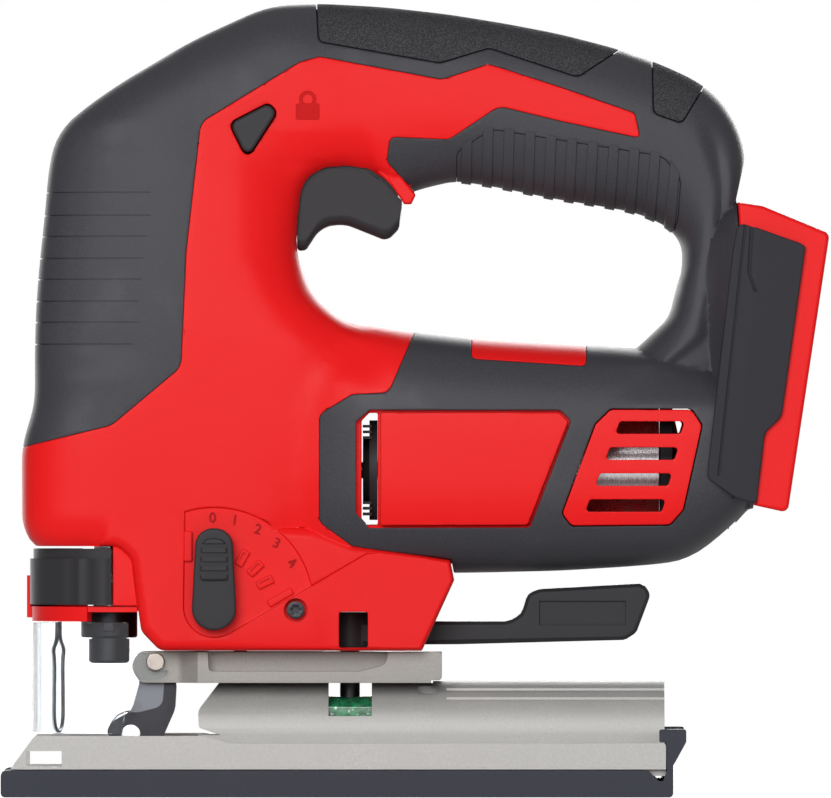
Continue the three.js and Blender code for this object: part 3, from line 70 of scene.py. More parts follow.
class Axis(Enum):
    """The axis a shape stands on or is turned about."""

    X = Matrix(((0, 0, 1, 0), (1, 0, 0, 0), (0, 1, 0, 0), (0, 0, 0, 1)))
    Y = Matrix(((0, 1, 0, 0), (0, 0, 1, 0), (1, 0, 0, 0), (0, 0, 0, 1)))
    Z = Matrix.Identity(4)

    def standing(self, centre: Point) -> Matrix:
        """The place of a shape that was made about Z and stands about this axis."""
        u, v = centre
        place = {"X": (0, u, v), "Y": (u, 0, v), "Z": (u, v, 0)}[self.name]
        return Matrix.Translation(place) @ self.value


class Side(Enum):
    """The two halves of the tool, seen from behind it."""

    LEFT = "left"
    RIGHT = "right"

    def span(self, a: float, b: float) -> Span:
        """Two distances from the parting plane as a span along Y on this side."""
        sign = -1.0 if self is Side.LEFT else 1.0
        return sorted((sign * a, sign * b))


SIDE_VIEW = Matrix(((1, 0, 0, 0), (0, 0, 1, 0), (0, 1, 0, 0), (0, 0, 0, 1)))


# ---------------------------------------------------------------- shapes


def grown(corners: Sequence[Corner], by: float) -> Sequence[Corner]:
    """Moves the edges of a closed outline outwards.

    Args:
        corners: The corners as (u, v) or (u, v, radius).
        by: The distance in millimetres.

    Returns:
        The corners of the larger outline.
    """
    if not by:
        return corners
    count = len(corners)
    area = sum(
        corners[i - 1][0] * corners[i][1] - corners[i][0] * corners[i - 1][1] for i in range(count)
    )
    side = math.copysign(by, area)
    out: list[Corner] = []
    for i, corner in enumerate(corners):
        here = Vector(corner[:2])
        a = (here - Vector(corners[i - 1][:2])).normalized()
        b = (Vector(corners[(i + 1) % count][:2]) - here).normalized()
        normal = Vector((a.y + b.y, -a.x - b.x))
        moved = here + normal * (2 * side / max(normal.length_squared, 0.5))
        out.append((moved.x, moved.y, *corner[2:]))
    return out


def rounded(
    bm: BMesh, geom: list, width: float, facets: int, affect: str = "EDGES", clamp: bool = False
) -> None:
    """Rounds edges or corners of a mesh.

    Args:
        bm: The mesh.
        geom: The edges or corners.
        width: How far the rounding reaches from them.
        facets: Its facets.
        affect: EDGES or VERTICES.
        clamp: Whether the width is held back where two roundings would meet.
    """
    bmesh.ops.bevel(
        bm,
        geom=geom,
        offset=width,
        offset_type="OFFSET",
        segments=facets,
        profile=0.5,
        affect=affect,
        material=-1,
        clamp_overlap=clamp,
    )


def flat_face(corners: Sequence[Corner], fine: float) -> BMesh:
    """Draws a closed outline as one face.

    Args:
        corners: The corners as (u, v) or (u, v, radius).
        fine: The turn of one facet of an arc, in degrees.

    Returns:
        A mesh of one face in the XY plane.
    """
    bm = bmesh.new()
    verts = [bm.verts.new((c[0], c[1], 0.0)) for c in corners]
    bm.faces.new(verts)
    plans = []
    for i, corner in enumerate(corners):
        radius = corner[2] if len(corner) > 2 else 0
        if not radius:
            continue
        here = Vector(corner[:2])
        back = Vector(corners[i - 1][:2]) - here
        ahead = Vector(corners[(i + 1) % len(corners)][:2]) - here
        half = back.angle(ahead) / 2
        if half > math.radians(89.5):
            continue
        reach = min(radius / math.tan(half), 0.49 * back.length, 0.49 * ahead.length)
        plans.append((verts[i], reach, max(1, round(math.degrees(math.pi - 2 * half) / fine))))
    for vert, reach, facets in plans:
        rounded(bm, [vert], reach, facets, "VERTICES")
    return bm


def fold(edge: BMEdge, otherwise: float = 0.0) -> float:
    """The angle in degrees between an edge's two faces, or another value where there aren't two."""
    return math.degrees(edge.calc_face_angle(0)) if len(edge.link_faces) == 2 else otherwise


def linked(name: str, data: bpy.types.ID) -> bpy.types.Object:
    """A new object in the scene."""
    made = bpy.data.objects.new(name, data)
    bpy.context.scene.collection.objects.link(made)
    return made


def mesh_of(name: str, bm: BMesh) -> bpy.types.Mesh:
    """A named mesh with the content of another."""
    mesh = bpy.data.meshes.new(name)
    bm.to_mesh(mesh)
    return mesh


def drain(holder: bpy.types.Object, bm: BMesh, place: Matrix = Matrix.Identity(4)) -> None:
    """Adds what an object shows to a mesh, and removes the object.

    Args:
        holder: The object, with its curve, text or modifiers.
        bm: The mesh that is added to.
        place: Where the shape is put.
    """
    shown = holder.evaluated_get(bpy.context.evaluated_depsgraph_get())
    mesh = bpy.data.meshes.new_from_object(shown)
    mesh.transform(place)
    bm.from_mesh(mesh)
    bpy.data.objects.remove(holder)
    bpy.data.meshes.remove(mesh)


@dataclass(eq=False)
class Form:
    """A closed shape, in millimetres, that is cut, joined and rounded until it is a piece."""

    bm: BMesh

    # ------------------------------------------------ ways to start

    @classmethod
    def slab(cls, corners: Sequence[Corner], y: Span, edge: float = 0.0, facets: int = 4) -> "Form":
        """Draws a side view between two Y planes.

        Args:
            corners: The corners as (x, z) or (x, z, radius).
            y: The two planes.
            edge: The radius of the edges at both ends.
            facets: The facets of those edges.

        Returns:
            The closed form.
        """
        bm = flat_face(corners, ARC_STEP)
        made = bmesh.ops.extrude_face_region(bm, geom=bm.faces[:])["geom"]
        top = [v for v in made if isinstance(v, BMVert)]
        bmesh.ops.translate(bm, verts=top, vec=(0, 0, y[1] - y[0]))
        bmesh.ops.recalc_face_normals(bm, faces=bm.faces[:])
        if edge:
            rims = {e for f in bm.faces if abs(f.normal.z) > 0.9 for e in f.edges}
            rounded(bm, list(rims), edge, facets)
        bmesh.ops.transform(bm, matrix=SIDE_VIEW @ Matrix.Translation((0, 0, y[0])), verts=bm.verts[:])
        bmesh.ops.recalc_face_normals(bm, faces=bm.faces[:])
        return cls(bm)

    @classmethod
    def through(cls, corners: Sequence[Corner], by: float = 0.0) -> "Form":
        """A side view that passes right through the tool, grown by a distance."""
        return cls.slab(grown(corners, by), (-FAR, FAR))

    @classmethod
    def swept(
        cls, corners: Sequence[Corner], rings: int, place: Callable[[int, float, float], Point3]
    ) -> "Form":
        """Draws an outline through rings that each have a shape of their own.

        Args:
            corners: The corners as (x, z, radius).
            rings: The number of rings.
            place: Gives the (x, y, z) of an outline point from its ring, x and z.

        Returns:
            The closed form.
        """
        bm = flat_face(corners, ARC_STEP * 2 / 3)
        end = bm.faces[:]
        for _ in range(rings - 1):
            made = bmesh.ops.extrude_face_region(bm, geom=end)["geom"]
            bmesh.ops.translate(bm, verts=[v for v in made if isinstance(v, BMVert)], vec=(0, 0, 1))
            end = [f for f in made if isinstance(f, BMFace)]
        levels = {f: {round(v.co.z) for v in f.verts} for f in bm.faces}
        inner = [f for f, level in levels.items() if len(level) == 1 and 0 < min(level) < rings - 1]
        bmesh.ops.delete(bm, geom=inner, context="FACES_ONLY")
        for vert in bm.verts:
            vert.co = place(round(vert.co.z), vert.co.x, vert.co.y)
        bmesh.ops.recalc_face_normals(bm, faces=bm.faces[:])
        return cls(bm)

    @classmethod
    def block(cls, x: Span, y: Span, z: Span) -> "Form":
        """A box between three pairs of planes."""
        bm = bmesh.new()
        bmesh.ops.create_cube(bm, size=1.0)
        size = Matrix.Diagonal((x[1] - x[0], y[1] - y[0], z[1] - z[0], 1))
        centre = Matrix.Translation((sum(x) / 2, sum(y) / 2, sum(z) / 2))
        bmesh.ops.transform(bm, matrix=centre @ size, verts=bm.verts[:])
        return cls(bm)

    @classmethod
    def rod(cls, axis: Axis, radius: float, span: Span, centre: Point, sides: int = 32) -> "Form":
        """A round bar between two planes of an axis."""
        bm = bmesh.new()
        bmesh.ops.create_cone(
            bm,
            cap_ends=True,
            cap_tris=False,
            segments=sides,
            radius1=radius,
            radius2=radius,
            depth=span[1] - span[0],
            matrix=axis.standing(centre) @ Matrix.Translation((0, 0, sum(span) / 2)),
        )
        return cls(bm)

    @classmethod
    def turned(cls, axis: Axis, profile: Sequence[Point], centre: Point) -> "Form":
        """Turns a closed profile of (radius, height) points about an axis."""
        bm = bmesh.new()
        verts = [bm.verts.new((r, 0, h)) for r, h in profile]
        edges = [bm.edges.new(pair) for pair in zip(verts, verts[1:] + verts[:1])]
        full = {"angle": 2 * math.pi, "steps": 64, "use_merge": True}
        bmesh.ops.spin(bm, geom=verts + edges, cent=(0, 0, 0), axis=(0, 0, 1), **full)
        bmesh.ops.remove_doubles(bm, verts=bm.verts[:], dist=1e-4)
        bmesh.ops.transform(bm, matrix=axis.standing(centre), verts=bm.verts[:])
        bmesh.ops.recalc_face_normals(bm, faces=bm.faces[:])
        return cls(bm)

    @classmethod
    def of_node(cls, node: str) -> "Form":
        """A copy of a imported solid, with whole faces in place of triangles."""
        bm = bmesh.new()
        bm.from_mesh(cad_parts[node].data)
        bmesh.ops.scale(bm, vec=(1 / MM,) * 3, verts=bm.verts[:])
        bmesh.ops.remove_doubles(bm, verts=bm.verts[:], dist=0.004)
        bmesh.ops.dissolve_limit(
            bm,
            angle_limit=math.radians(1.0),
            verts=bm.verts[:],
            edges=bm.edges[:],
            use_dissolve_boundaries=False,
            delimit=set(),
        )
        return cls(bm)

    @classmethod
    def wire(cls, points: Iterable[Point3], radius: float) -> "Form":
        """A round wire along a smooth curve through points."""
        curve = bpy.data.curves.new("wire", "CURVE")
        curve.dimensions = "3D"
        curve.bevel_depth = radius
        curve.bevel_resolution = 4
        curve.resolution_u = 8
        curve.use_fill_caps = True
        spline = curve.splines.new("BEZIER")
        way = list(points)
        spline.bezier_points.add(len(way) - 1)
        for knot, place in zip(spline.bezier_points, way):
            knot.co = place
            knot.handle_left_type = knot.handle_right_type = "AUTO"
        bm = bmesh.new()
        drain(linked("wire", curve), bm)
        bmesh.ops.remove_doubles(bm, verts=bm.verts[:], dist=1e-4)
        bmesh.ops.recalc_face_normals(bm, faces=bm.faces[:])
        return cls(bm)

    # ------------------------------------------------ ways to change

    def moved(self, x: float = 0.0, y: float = 0.0, z: float = 0.0) -> "Form":
        """Moves the form in place."""
        bmesh.ops.translate(self.bm, verts=self.bm.verts[:], vec=(x, y, z))
        return self

    def swung(self, axis: Axis, degrees: float, centre: Point3 = (0, 0, 0)) -> "Form":
        """Turns the form in place about an axis through a point."""
        matrix = Matrix.Rotation(math.radians(degrees), 3, axis.name)
        bmesh.ops.rotate(self.bm, verts=self.bm.verts[:], cent=centre, matrix=matrix)
        return self

    def mirrored(self) -> "Form":
        """Mirrors the form in place across the parting plane."""
        bmesh.ops.scale(self.bm, vec=(1, -1, 1), verts=self.bm.verts[:])
        bmesh.ops.reverse_faces(self.bm, faces=self.bm.faces[:])
        return self

    def _boolean(self, operation: str, others: Sequence["Form"]) -> "Form":
        """Runs one boolean with each of the others, in order.

        Args:
            operation: DIFFERENCE, UNION or INTERSECT.
            others: The forms that cut, join or keep.

        Returns:
            The new form.
        """
        closed = all(edge.is_manifold for edge in self.bm.edges)
        host = linked("host", mesh_of("host", self.bm))
        tools = [linked("tool", mesh_of("tool", other.bm)) for other in others]
        for tool in tools:
            modifier = host.modifiers.new("boolean", "BOOLEAN")
            modifier.operation = operation
            modifier.solver = "MANIFOLD" if closed else "EXACT"
            modifier.object = tool
        used = [item.data for item in (host, *tools)]
        bm = bmesh.new()
        drain(host, bm)
        for tool in tools:
            bpy.data.objects.remove(tool)
        for mesh in used:
            bpy.data.meshes.remove(mesh)
        if not bm.faces:
            LOG.warning("an empty %s", operation.lower())
        return Form(bm)

    def cut(self, *others: "Form") -> "Form":
        """What is left when the others are taken away."""
        return self._boolean("DIFFERENCE", others)

    def joined(self, *others: "Form") -> "Form":
        """The form with the others added."""
        return self._boolean("UNION", others) if others else self

    def common(self, *others: "Form") -> "Form":
        """What the form shares with all the others."""
        return self._boolean("INTERSECT", others)

    def half(self, side: Side) -> "Form":
        """The part of the form on one side of the parting plane."""
        return self.common(Form.block((-FAR, FAR), side.span(PART_LINE, FAR), (-FAR, FAR)))

    def eased(self, width: float, facets: int = 2, limit: float = 32.0, merge: float = 0.0) -> "Form":
        """Rounds every sharp outside and inside edge in place.

        Args:
            width: The width of the rounding.
            facets: Its facets.
            limit: The angle in degrees from which an edge is sharp.
            merge: The distance within which corners are made one first.

        Returns:
            The form itself.
        """
        wide = [f for f in self.bm.faces if len(f.verts) > 8]
        bmesh.ops.triangulate(self.bm, faces=wide, quad_method="BEAUTY", ngon_method="BEAUTY")
        if merge:
            bmesh.ops.remove_doubles(self.bm, verts=self.bm.verts[:], dist=merge)
            bmesh.ops.dissolve_degenerate(self.bm, edges=self.bm.edges[:], dist=merge / 2)
        sharp = [e for e in self.bm.edges if fold(e) > limit]
        rounded(self.bm, sharp, width, facets, clamp=not merge)
        return self

    def blended(self, back: float, reach: float, rounds: int) -> "Form":
        """Softens in place the seams where the body was united with head and post.

        Args:
            back: Only seams with a lower x are softened.
            reach: How far the softening goes from a seam.
            rounds: How often it is repeated.

        Returns:
            The form itself.
        """
        seams = []
        for edge in self.bm.edges:
            x, y, z = edge.verts[0].co
            if -24 < x < back and abs(y) > 9 and z > 82 and fold(edge) > 14:
                seams.append((edge.verts[0].co + edge.verts[1].co) / 2)
        tree = KDTree(len(seams))
        for i, spot in enumerate(seams):
            tree.insert(spot, i)
        tree.balance()
        near = [v for v in self.bm.verts if seams and tree.find(v.co)[2] < reach]
        every_way = {"use_axis_x": True, "use_axis_y": True, "use_axis_z": True}
        for _ in range(rounds):
            bmesh.ops.smooth_vert(self.bm, verts=near, factor=0.5, **every_way)
        return self

    # ------------------------------------------------ the finished piece

    def piece(self, name: str, body: str, finish: "Finish") -> None:
        """Makes the form a piece of the tool, in metres, that stands for the solid of the same name.

        Args:
            name: The name of the piece.
            body: The body it rides on.
            finish: Its material.
        """
        bm = self.bm
        bmesh.ops.scale(bm, vec=(MM,) * 3, verts=bm.verts[:])
        for face in bm.faces:
            face.smooth = True
        for edge in bm.edges:
            edge.smooth = fold(edge, 180.0) < 35.0
        mesh = mesh_of(name, bm)
        bm.free()
        made = linked(name, mesh)
        mesh.materials.append(finish.material())
        modifier = made.modifiers.new("normals", "WEIGHTED_NORMAL")
        modifier.keep_sharp = True
        modifier.weight = 60
        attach(made, body)
        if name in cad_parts:
            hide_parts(name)
        LOG.info("%s: %d faces", name, len(mesh.polygons))


# ---------------------------------------------------------------- shader graph


def maths(operation: str, swapped: bool = False) -> Callable[["Value", "Value | float"], "Value"]:
    """A method that adds one Math node to the graph of a value."""

    def method(self: "Value", other: "Value | float") -> "Value":
        """The result of the operation with another value."""
        pair = (other, self) if swapped else (self, other)
        return self.graph.node("ShaderNodeMath", {"operation": operation}, dict(enumerate(pair)))

    return method


@dataclass(eq=False)
class Value:
    """A socket of a shader graph that takes part in Python expressions."""

    graph: "Graph"
    socket: bpy.types.NodeSocket

    __add__ = maths("ADD")
    __radd__ = maths("ADD", True)
    __sub__ = maths("SUBTRACT")
    __rsub__ = maths("SUBTRACT", True)
    __mul__ = maths("MULTIPLY")
    at_least = maths("MAXIMUM")

    def stepped(self, low: float, high: float) -> "Value":
        """0 below low, 1 above high, and smooth between them."""
        return self.graph.node(
            "ShaderNodeMapRange",
            {"interpolation_type": "SMOOTHSTEP"},
            {"Value": self, "From Min": low, "From Max": high, "To Min": 0.0, "To Max": 1.0},
        )


class Graph:
    """The node tree of one material or of the world."""

    def __init__(self, data: bpy.types.Material | bpy.types.World) -> None:
        """Empties the node tree."""
        data.use_nodes = True
        self.data = data
        self.tree = data.node_tree
        self.tree.nodes.clear()

    def node(self, kind: str, settings: dict, inputs: dict, output: int | str = 0) -> Value:
        """Adds a node.

        Args:
            kind: The node type.
            settings: Its properties, set first.
            inputs: What goes into its sockets, by name or number.
            output: The output that is used.

        Returns:
            The output, ready for expressions.
        """
        made = self.tree.nodes.new(kind)
        for key, setting in settings.items():
            setattr(made, key, setting)
        for key, given in inputs.items():
            if isinstance(given, Value):
                self.tree.links.new(given.socket, made.inputs[key])
            else:
                made.inputs[key].default_value = given
        return Value(self, made.outputs[output])

    def place(self) -> Value:
        """The object's own coordinates, in metres."""
        return self.node("ShaderNodeTexCoord", {}, {}, "Object")

    def stretched(self, *scale: float) -> Value:
        """The coordinates, scaled by axis."""
        return self.node("ShaderNodeMapping", {}, {"Vector": self.place(), "Scale": scale})

    def noise(
        self, size: float, detail: float = 3.0, where: Value | None = None, rough: float = 0.5
    ) -> Value:
        """Noise whose marks are about size millimetres across."""
        inputs = {"Vector": where or self.place(), "Scale": 1 / (size * MM)}
        inputs |= {"Detail": detail, "Roughness": rough}
        return self.node("ShaderNodeTexNoise", {}, inputs)

    def cells(self, size: float, feature: str = "F1") -> Value:
        """The distance field of cells about size millimetres across."""
        inputs = {"Vector": self.place(), "Scale": 1 / (size * MM)}
        return self.node("ShaderNodeTexVoronoi", {"feature": feature}, inputs, "Distance")

    def tint(self, factor: Value, a: object, b: object) -> Value:
        """Mixes two colours."""
        settings = {"data_type": "RGBA", "clamp_factor": True}
        return self.node("ShaderNodeMix", settings, {0: factor, 6: a, 7: b}, 2)

    def bump(self, height: Value, depth: float, strength: float) -> Value:
        """A bump of a height field, depth in millimetres."""
        inputs = {"Height": height, "Distance": depth * MM, "Strength": strength}
        return self.node("ShaderNodeBump", {}, inputs)

    def ended(self, shader: Value, kind: str = "ShaderNodeOutputMaterial") -> bpy.types.ID:
        """Links a shader to the output, and returns the material or world."""
        output = self.tree.nodes.new(kind)
        self.tree.links.new(shader.socket, output.inputs["Surface"])
        return self.data

    def surface(self, **inputs: object) -> bpy.types.Material:
        """Ends the graph in a Principled shader.

        Args:
            **inputs: Socket values, with _ for each space in a socket's name.

        Returns:
            The material.
        """
        named = {key.replace("_", " "): given for key, given in inputs.items()}
        return self.ended(self.node("ShaderNodeBsdfPrincipled", {}, named))


@dataclass(frozen=True)
class Finish:
    """What a surface is made of and how it was finished."""

    name: str
    slot: str
    colour: Colour

    @cache
    def material(self) -> bpy.types.Material:
        """The material, made once."""
        return self.build(Graph(bpy.data.materials.new(self.name)))

    def shade(self, by: float = 1.0) -> tuple[float, float, float, float]:
        """The colour, made lighter or darker, with full opacity."""
        return (*(min(1.0, c * by) for c in self.colour), 1.0)

    def build(self, graph: Graph) -> bpy.types.Material:
        """Builds the node tree."""
        raise NotImplementedError


@dataclass(frozen=True)
class MouldedPlastic(Finish):
    """Hard plastic from an etched mould: fine grain, faint flow marks and a satin gloss."""

    roughness: float
    grain: float
    depth: float
    mottle: float
    gloss: float

    def build(self, graph: Graph) -> bpy.types.Material:
        """Builds the node tree."""
        grain = graph.noise(self.grain, 2.0)
        flow = graph.noise(26.0, 2.0)
        scuff = graph.noise(3.5, 5.0, graph.stretched(0.35, 1.0, 1.6))
        worn = scuff.stepped(0.62, 0.78) * 0.35
        base = graph.tint(flow * self.mottle * 4.0, self.shade(1 - self.mottle), self.shade(1 + self.mottle))
        return graph.surface(
            Base_Color=graph.tint(worn * 0.25, base, self.shade(1.25)),
            Roughness=self.roughness + (grain - 0.5) * 0.16 + worn * 0.12,
            Normal=graph.bump(grain + flow * 0.6, self.depth, 0.55),
            Specular_IOR_Level=self.gloss,
            IOR=1.48,
        )


@dataclass(frozen=True)
class SoftRubber(Finish):
    """Soft shell over the hard one: matt, finely sparked, with slight handling shine."""

    roughness: float
    spark: float = 0.5
    depth: float = 0.045

    def build(self, graph: Graph) -> bpy.types.Material:
        """Builds the node tree."""
        spark = graph.noise(self.spark, 3.0, rough=0.65)
        pits = graph.cells(self.spark * 2.2)
        handled = graph.noise(18.0, 4.0).stepped(0.5, 0.72)
        base = graph.tint(spark.stepped(0.3, 0.75), self.shade(0.86), self.shade(1.16))
        return graph.surface(
            Base_Color=graph.tint(handled * 0.35, base, self.shade(1.22)),
            Roughness=self.roughness + (spark - 0.5) * 0.2 - handled * 0.07,
            Normal=graph.bump(spark * 0.8 + pits * 0.5, self.depth, 0.6),
            Specular_IOR_Level=0.2,
        )


@dataclass(frozen=True)
class PebbledRubber(Finish):
    """Grip rubber with a raised pebble, its tops painted lighter as a painted highlight and made smoother."""

    pebble: float
    depth: float

    def build(self, graph: Graph) -> bpy.types.Material:
        """Builds the node tree."""
        pebble = 1.0 - graph.cells(self.pebble) * 1.5
        spark = graph.noise(0.35, 2.0)
        # The raised tops are tinted lighter in the base colour as a painted highlight, and made less rough.
        painted_highlight_tops = (pebble * 0.6 + spark * 0.5).stepped(0.3, 0.75)
        return graph.surface(
            Base_Color=graph.tint(painted_highlight_tops, self.shade(0.62), self.shade(1.3)),
            Roughness=0.82 - painted_highlight_tops * 0.16 + (spark - 0.5) * 0.12,
            Normal=graph.bump(pebble + spark * 0.15, self.depth, 0.7),
            Specular_IOR_Level=0.12,
        )


@dataclass(frozen=True)
class CastMetal(Finish):
    """Blasted light-metal casting: sandy grain, pores and a cloudy oxide."""

    def build(self, graph: Graph) -> bpy.types.Material:
        """Builds the node tree."""
        sand = graph.noise(0.7, 4.0, rough=0.7)
        pores = graph.cells(2.6).stepped(0.08, 0.2)
        cloud = graph.noise(14.0, 5.0)
        streak = graph.noise(1.2, 3.0, graph.stretched(0.12, 1.0, 1.0))
        base = graph.tint(cloud.stepped(0.3, 0.75), self.shade(0.95), self.shade(1.05))
        base = graph.tint(sand.stepped(0.35, 0.65), self.shade(0.9), base)
        base = graph.tint((1.0 - pores) * 0.12, base, self.shade(0.6))
        return graph.surface(
            Base_Color=graph.tint(streak.stepped(0.6, 0.8) * 0.1, base, self.shade(1.2)),
            Metallic=0.25,
            Roughness=0.5 + (sand - 0.5) * 0.2 + (cloud - 0.5) * 0.08,
            Normal=graph.bump(sand + pores * 0.3, 0.06, 0.7),
        )


@dataclass(frozen=True)
class WorkedSteel(Finish):
    """Ground or drawn metal: fine lines across it, handling smudges and a crisp shine."""

    roughness: float
    stretch: float = 0.06
    depth: float = 0.012

    def build(self, graph: Graph) -> bpy.types.Material:
        """Builds the node tree."""
        lines = graph.noise(0.35, 3.0, graph.stretched(1.0, 1.0, self.stretch))
        oil = graph.noise(6.0, 4.0).stepped(0.52, 0.75)
        base = graph.tint(lines, self.shade(0.85), self.shade(1.12))
        return graph.surface(
            Base_Color=graph.tint(oil * 0.3, base, self.shade(0.7)),
            Metallic=1.0,
            Roughness=self.roughness + (lines - 0.5) * 0.18 + oil * 0.12,
            Normal=graph.bump(lines, self.depth, 0.5),
        )


@dataclass(frozen=True)
class Lacquer(Finish):
    """Coloured lacquer on steel, wet with grease."""

    def build(self, graph: Graph) -> bpy.types.Material:
        """Builds the node tree."""
        grease = graph.noise(2.2, 4.0)
        bare = graph.noise(1.4, 3.0).stepped(0.6, 0.7)
        base = graph.tint(grease.stepped(0.4, 0.7), self.shade(0.6), self.shade(1.6))
        return graph.surface(
            Base_Color=graph.tint(bare * 0.6, base, (0.5, 0.55, 0.5, 1.0)),
            Metallic=bare * 0.6,
            Roughness=0.2 + grease * 0.2,
            Normal=graph.bump(grease, 0.15, 0.8),
            Coat_Weight=0.8,
            Coat_Roughness=0.08,
        )


@dataclass(frozen=True)
class ClearPlastic(Finish):
    """Clear hood, slightly milky, with hairline scratches."""

    def build(self, graph: Graph) -> bpy.types.Material:
        """Builds the node tree."""
        hair = graph.noise(0.6, 3.0, graph.stretched(0.08, 1.0, 1.0)).stepped(0.62, 0.74)
        haze = graph.noise(9.0, 3.0)
        return graph.surface(
            Base_Color=self.shade(),
            Roughness=0.03 + hair * 0.12 + haze * 0.06,
            Normal=graph.bump(haze + hair * 0.2, 0.03, 0.4),
            Transmission_Weight=0.92,
            IOR=1.2,
            Specular_IOR_Level=0.6,
            Alpha=0.4 + haze * 0.16 + hair * 0.12,
        )


@dataclass(frozen=True)
class Windings(Finish):
    """Enamelled copper wound round a core."""

    def build(self, graph: Graph) -> bpy.types.Material:
        """Builds the node tree."""
        turns = graph.node(
            "ShaderNodeTexWave",
            {"wave_type": "BANDS", "bands_direction": "X"},
            {"Vector": graph.place(), "Scale": 180.0, "Distortion": 1.5, "Detail": 2.0},
            "Fac",
        )
        return graph.surface(
            Base_Color=graph.tint(turns, self.shade(0.45), self.shade(1.2)),
            Metallic=0.85,
            Roughness=0.3 + turns * 0.15,
            Normal=graph.bump(turns, 0.2, 0.7),
        )


@dataclass(frozen=True)
class BoardLacquer(Finish):
    """Circuit board under clear lacquer, with its tracks."""

    def build(self, graph: Graph) -> bpy.types.Material:
        """Builds the node tree."""
        tracks = graph.cells(3.0, "DISTANCE_TO_EDGE").stepped(0.04, 0.09)
        return graph.surface(
            Base_Color=graph.tint(tracks, self.shade(1.9), self.shade(0.9)),
            Roughness=0.35 + tracks * 0.1,
            Normal=graph.bump(1.0 - tracks, 0.04, 0.6),
            Coat_Weight=0.3,
            Coat_Roughness=0.15,
        )


RED = MouldedPlastic("red_nylon", "red_shell", (0.88, 0.0115, 0.0125), 0.42, 0.6, 0.016, 0.05, 0.14)
# The dial numbers are the shell's own red plastic; their darker red is painted shade.
RED_PAINTED_SHADE = MouldedPlastic("red_nylon_marks", "red_shell", (0.42, 0.007, 0.008), 0.5, 0.6, 0.016, 0.05, 0.1)
# Darker red of the thin sheet on the floor of the sunk lock sign: painted shade in the recess.
SIGN_PAINTED_SHADE = MouldedPlastic("red_nylon_sign", "red_shell", (0.6, 0.008, 0.009), 0.55, 0.6, 0.016, 0.05, 0.1)
BLACK = MouldedPlastic("satin_black_nylon", "black_nylon", (0.036, 0.035, 0.039), 0.42, 0.5, 0.03, 0.1, 0.14)
CHEEK_BLACK = MouldedPlastic("cheek_nylon", "black_nylon", (0.036, 0.035, 0.042), 0.5, 0.45, 0.035, 0.1, 0.08)
SLATE = MouldedPlastic("slate_sole", "slate_cover", (0.052, 0.055, 0.07), 0.46, 0.7, 0.05, 0.12, 0.1)
LENS = MouldedPlastic("frosted_lens", "lamp_lens", (0.85, 0.85, 0.8), 0.12, 0.8, 0.02, 0.04, 0.5)
DARK_SHELL = SoftRubber("dark_overmould", "soft_shell", (0.047, 0.047, 0.055), 0.46)
RIBBED = SoftRubber("ribbed_grip", "pad_rubber", (0.046, 0.046, 0.053), 0.54, 0.45, 0.06)
PEBBLE = PebbledRubber("pebbled_grip", "pad_rubber", (0.062, 0.062, 0.068), 0.5, 0.1)
CAST = CastMetal("blasted_alloy", "cast_aluminium", (0.46, 0.455, 0.44))
BRACKET_CAST = CastMetal("blasted_bracket", "cast_aluminium", (0.33, 0.32, 0.295))
STEEL = WorkedSteel("ground_steel", "bright_steel", (0.62, 0.62, 0.64), 0.28)
ROD_STEEL = WorkedSteel("drawn_steel", "bright_steel", (0.66, 0.66, 0.68), 0.2, 0.05)
WIRE_STEEL = WorkedSteel("oiled_wire", "bright_steel", (0.1, 0.1, 0.105), 0.35)
BLACK_STEEL = WorkedSteel("blackened_steel", "dark_steel", (0.036, 0.036, 0.04), 0.4, 1.0, 0.03)
PIN_STEEL = WorkedSteel("browned_steel", "dark_steel", (0.36, 0.32, 0.29), 0.45, 1.0, 0.03)
GREY_STEEL = WorkedSteel("phosphated_steel", "dark_steel", (0.13, 0.135, 0.15), 0.42, 1.0, 0.04)
BRONZE = WorkedSteel("bronze", "brass", (0.6, 0.42, 0.2), 0.35)
CONTACT = WorkedSteel("contact_copper", "copper", (0.7, 0.4, 0.25), 0.3)
COPPER = Windings("copper_windings", "copper", (0.55, 0.26, 0.13))
BOARD = BoardLacquer("board_lacquer", "circuit_board", (0.03, 0.16, 0.07))
GREEN = Lacquer("greased_green_lacquer", "green_lacquer", (0.02, 0.22, 0.09))
CLEAR = ClearPlastic("clear_hood", "clear_plastic", (0.62, 0.66, 0.69))


# ---------------------------------------------------------------- outer form of the shell

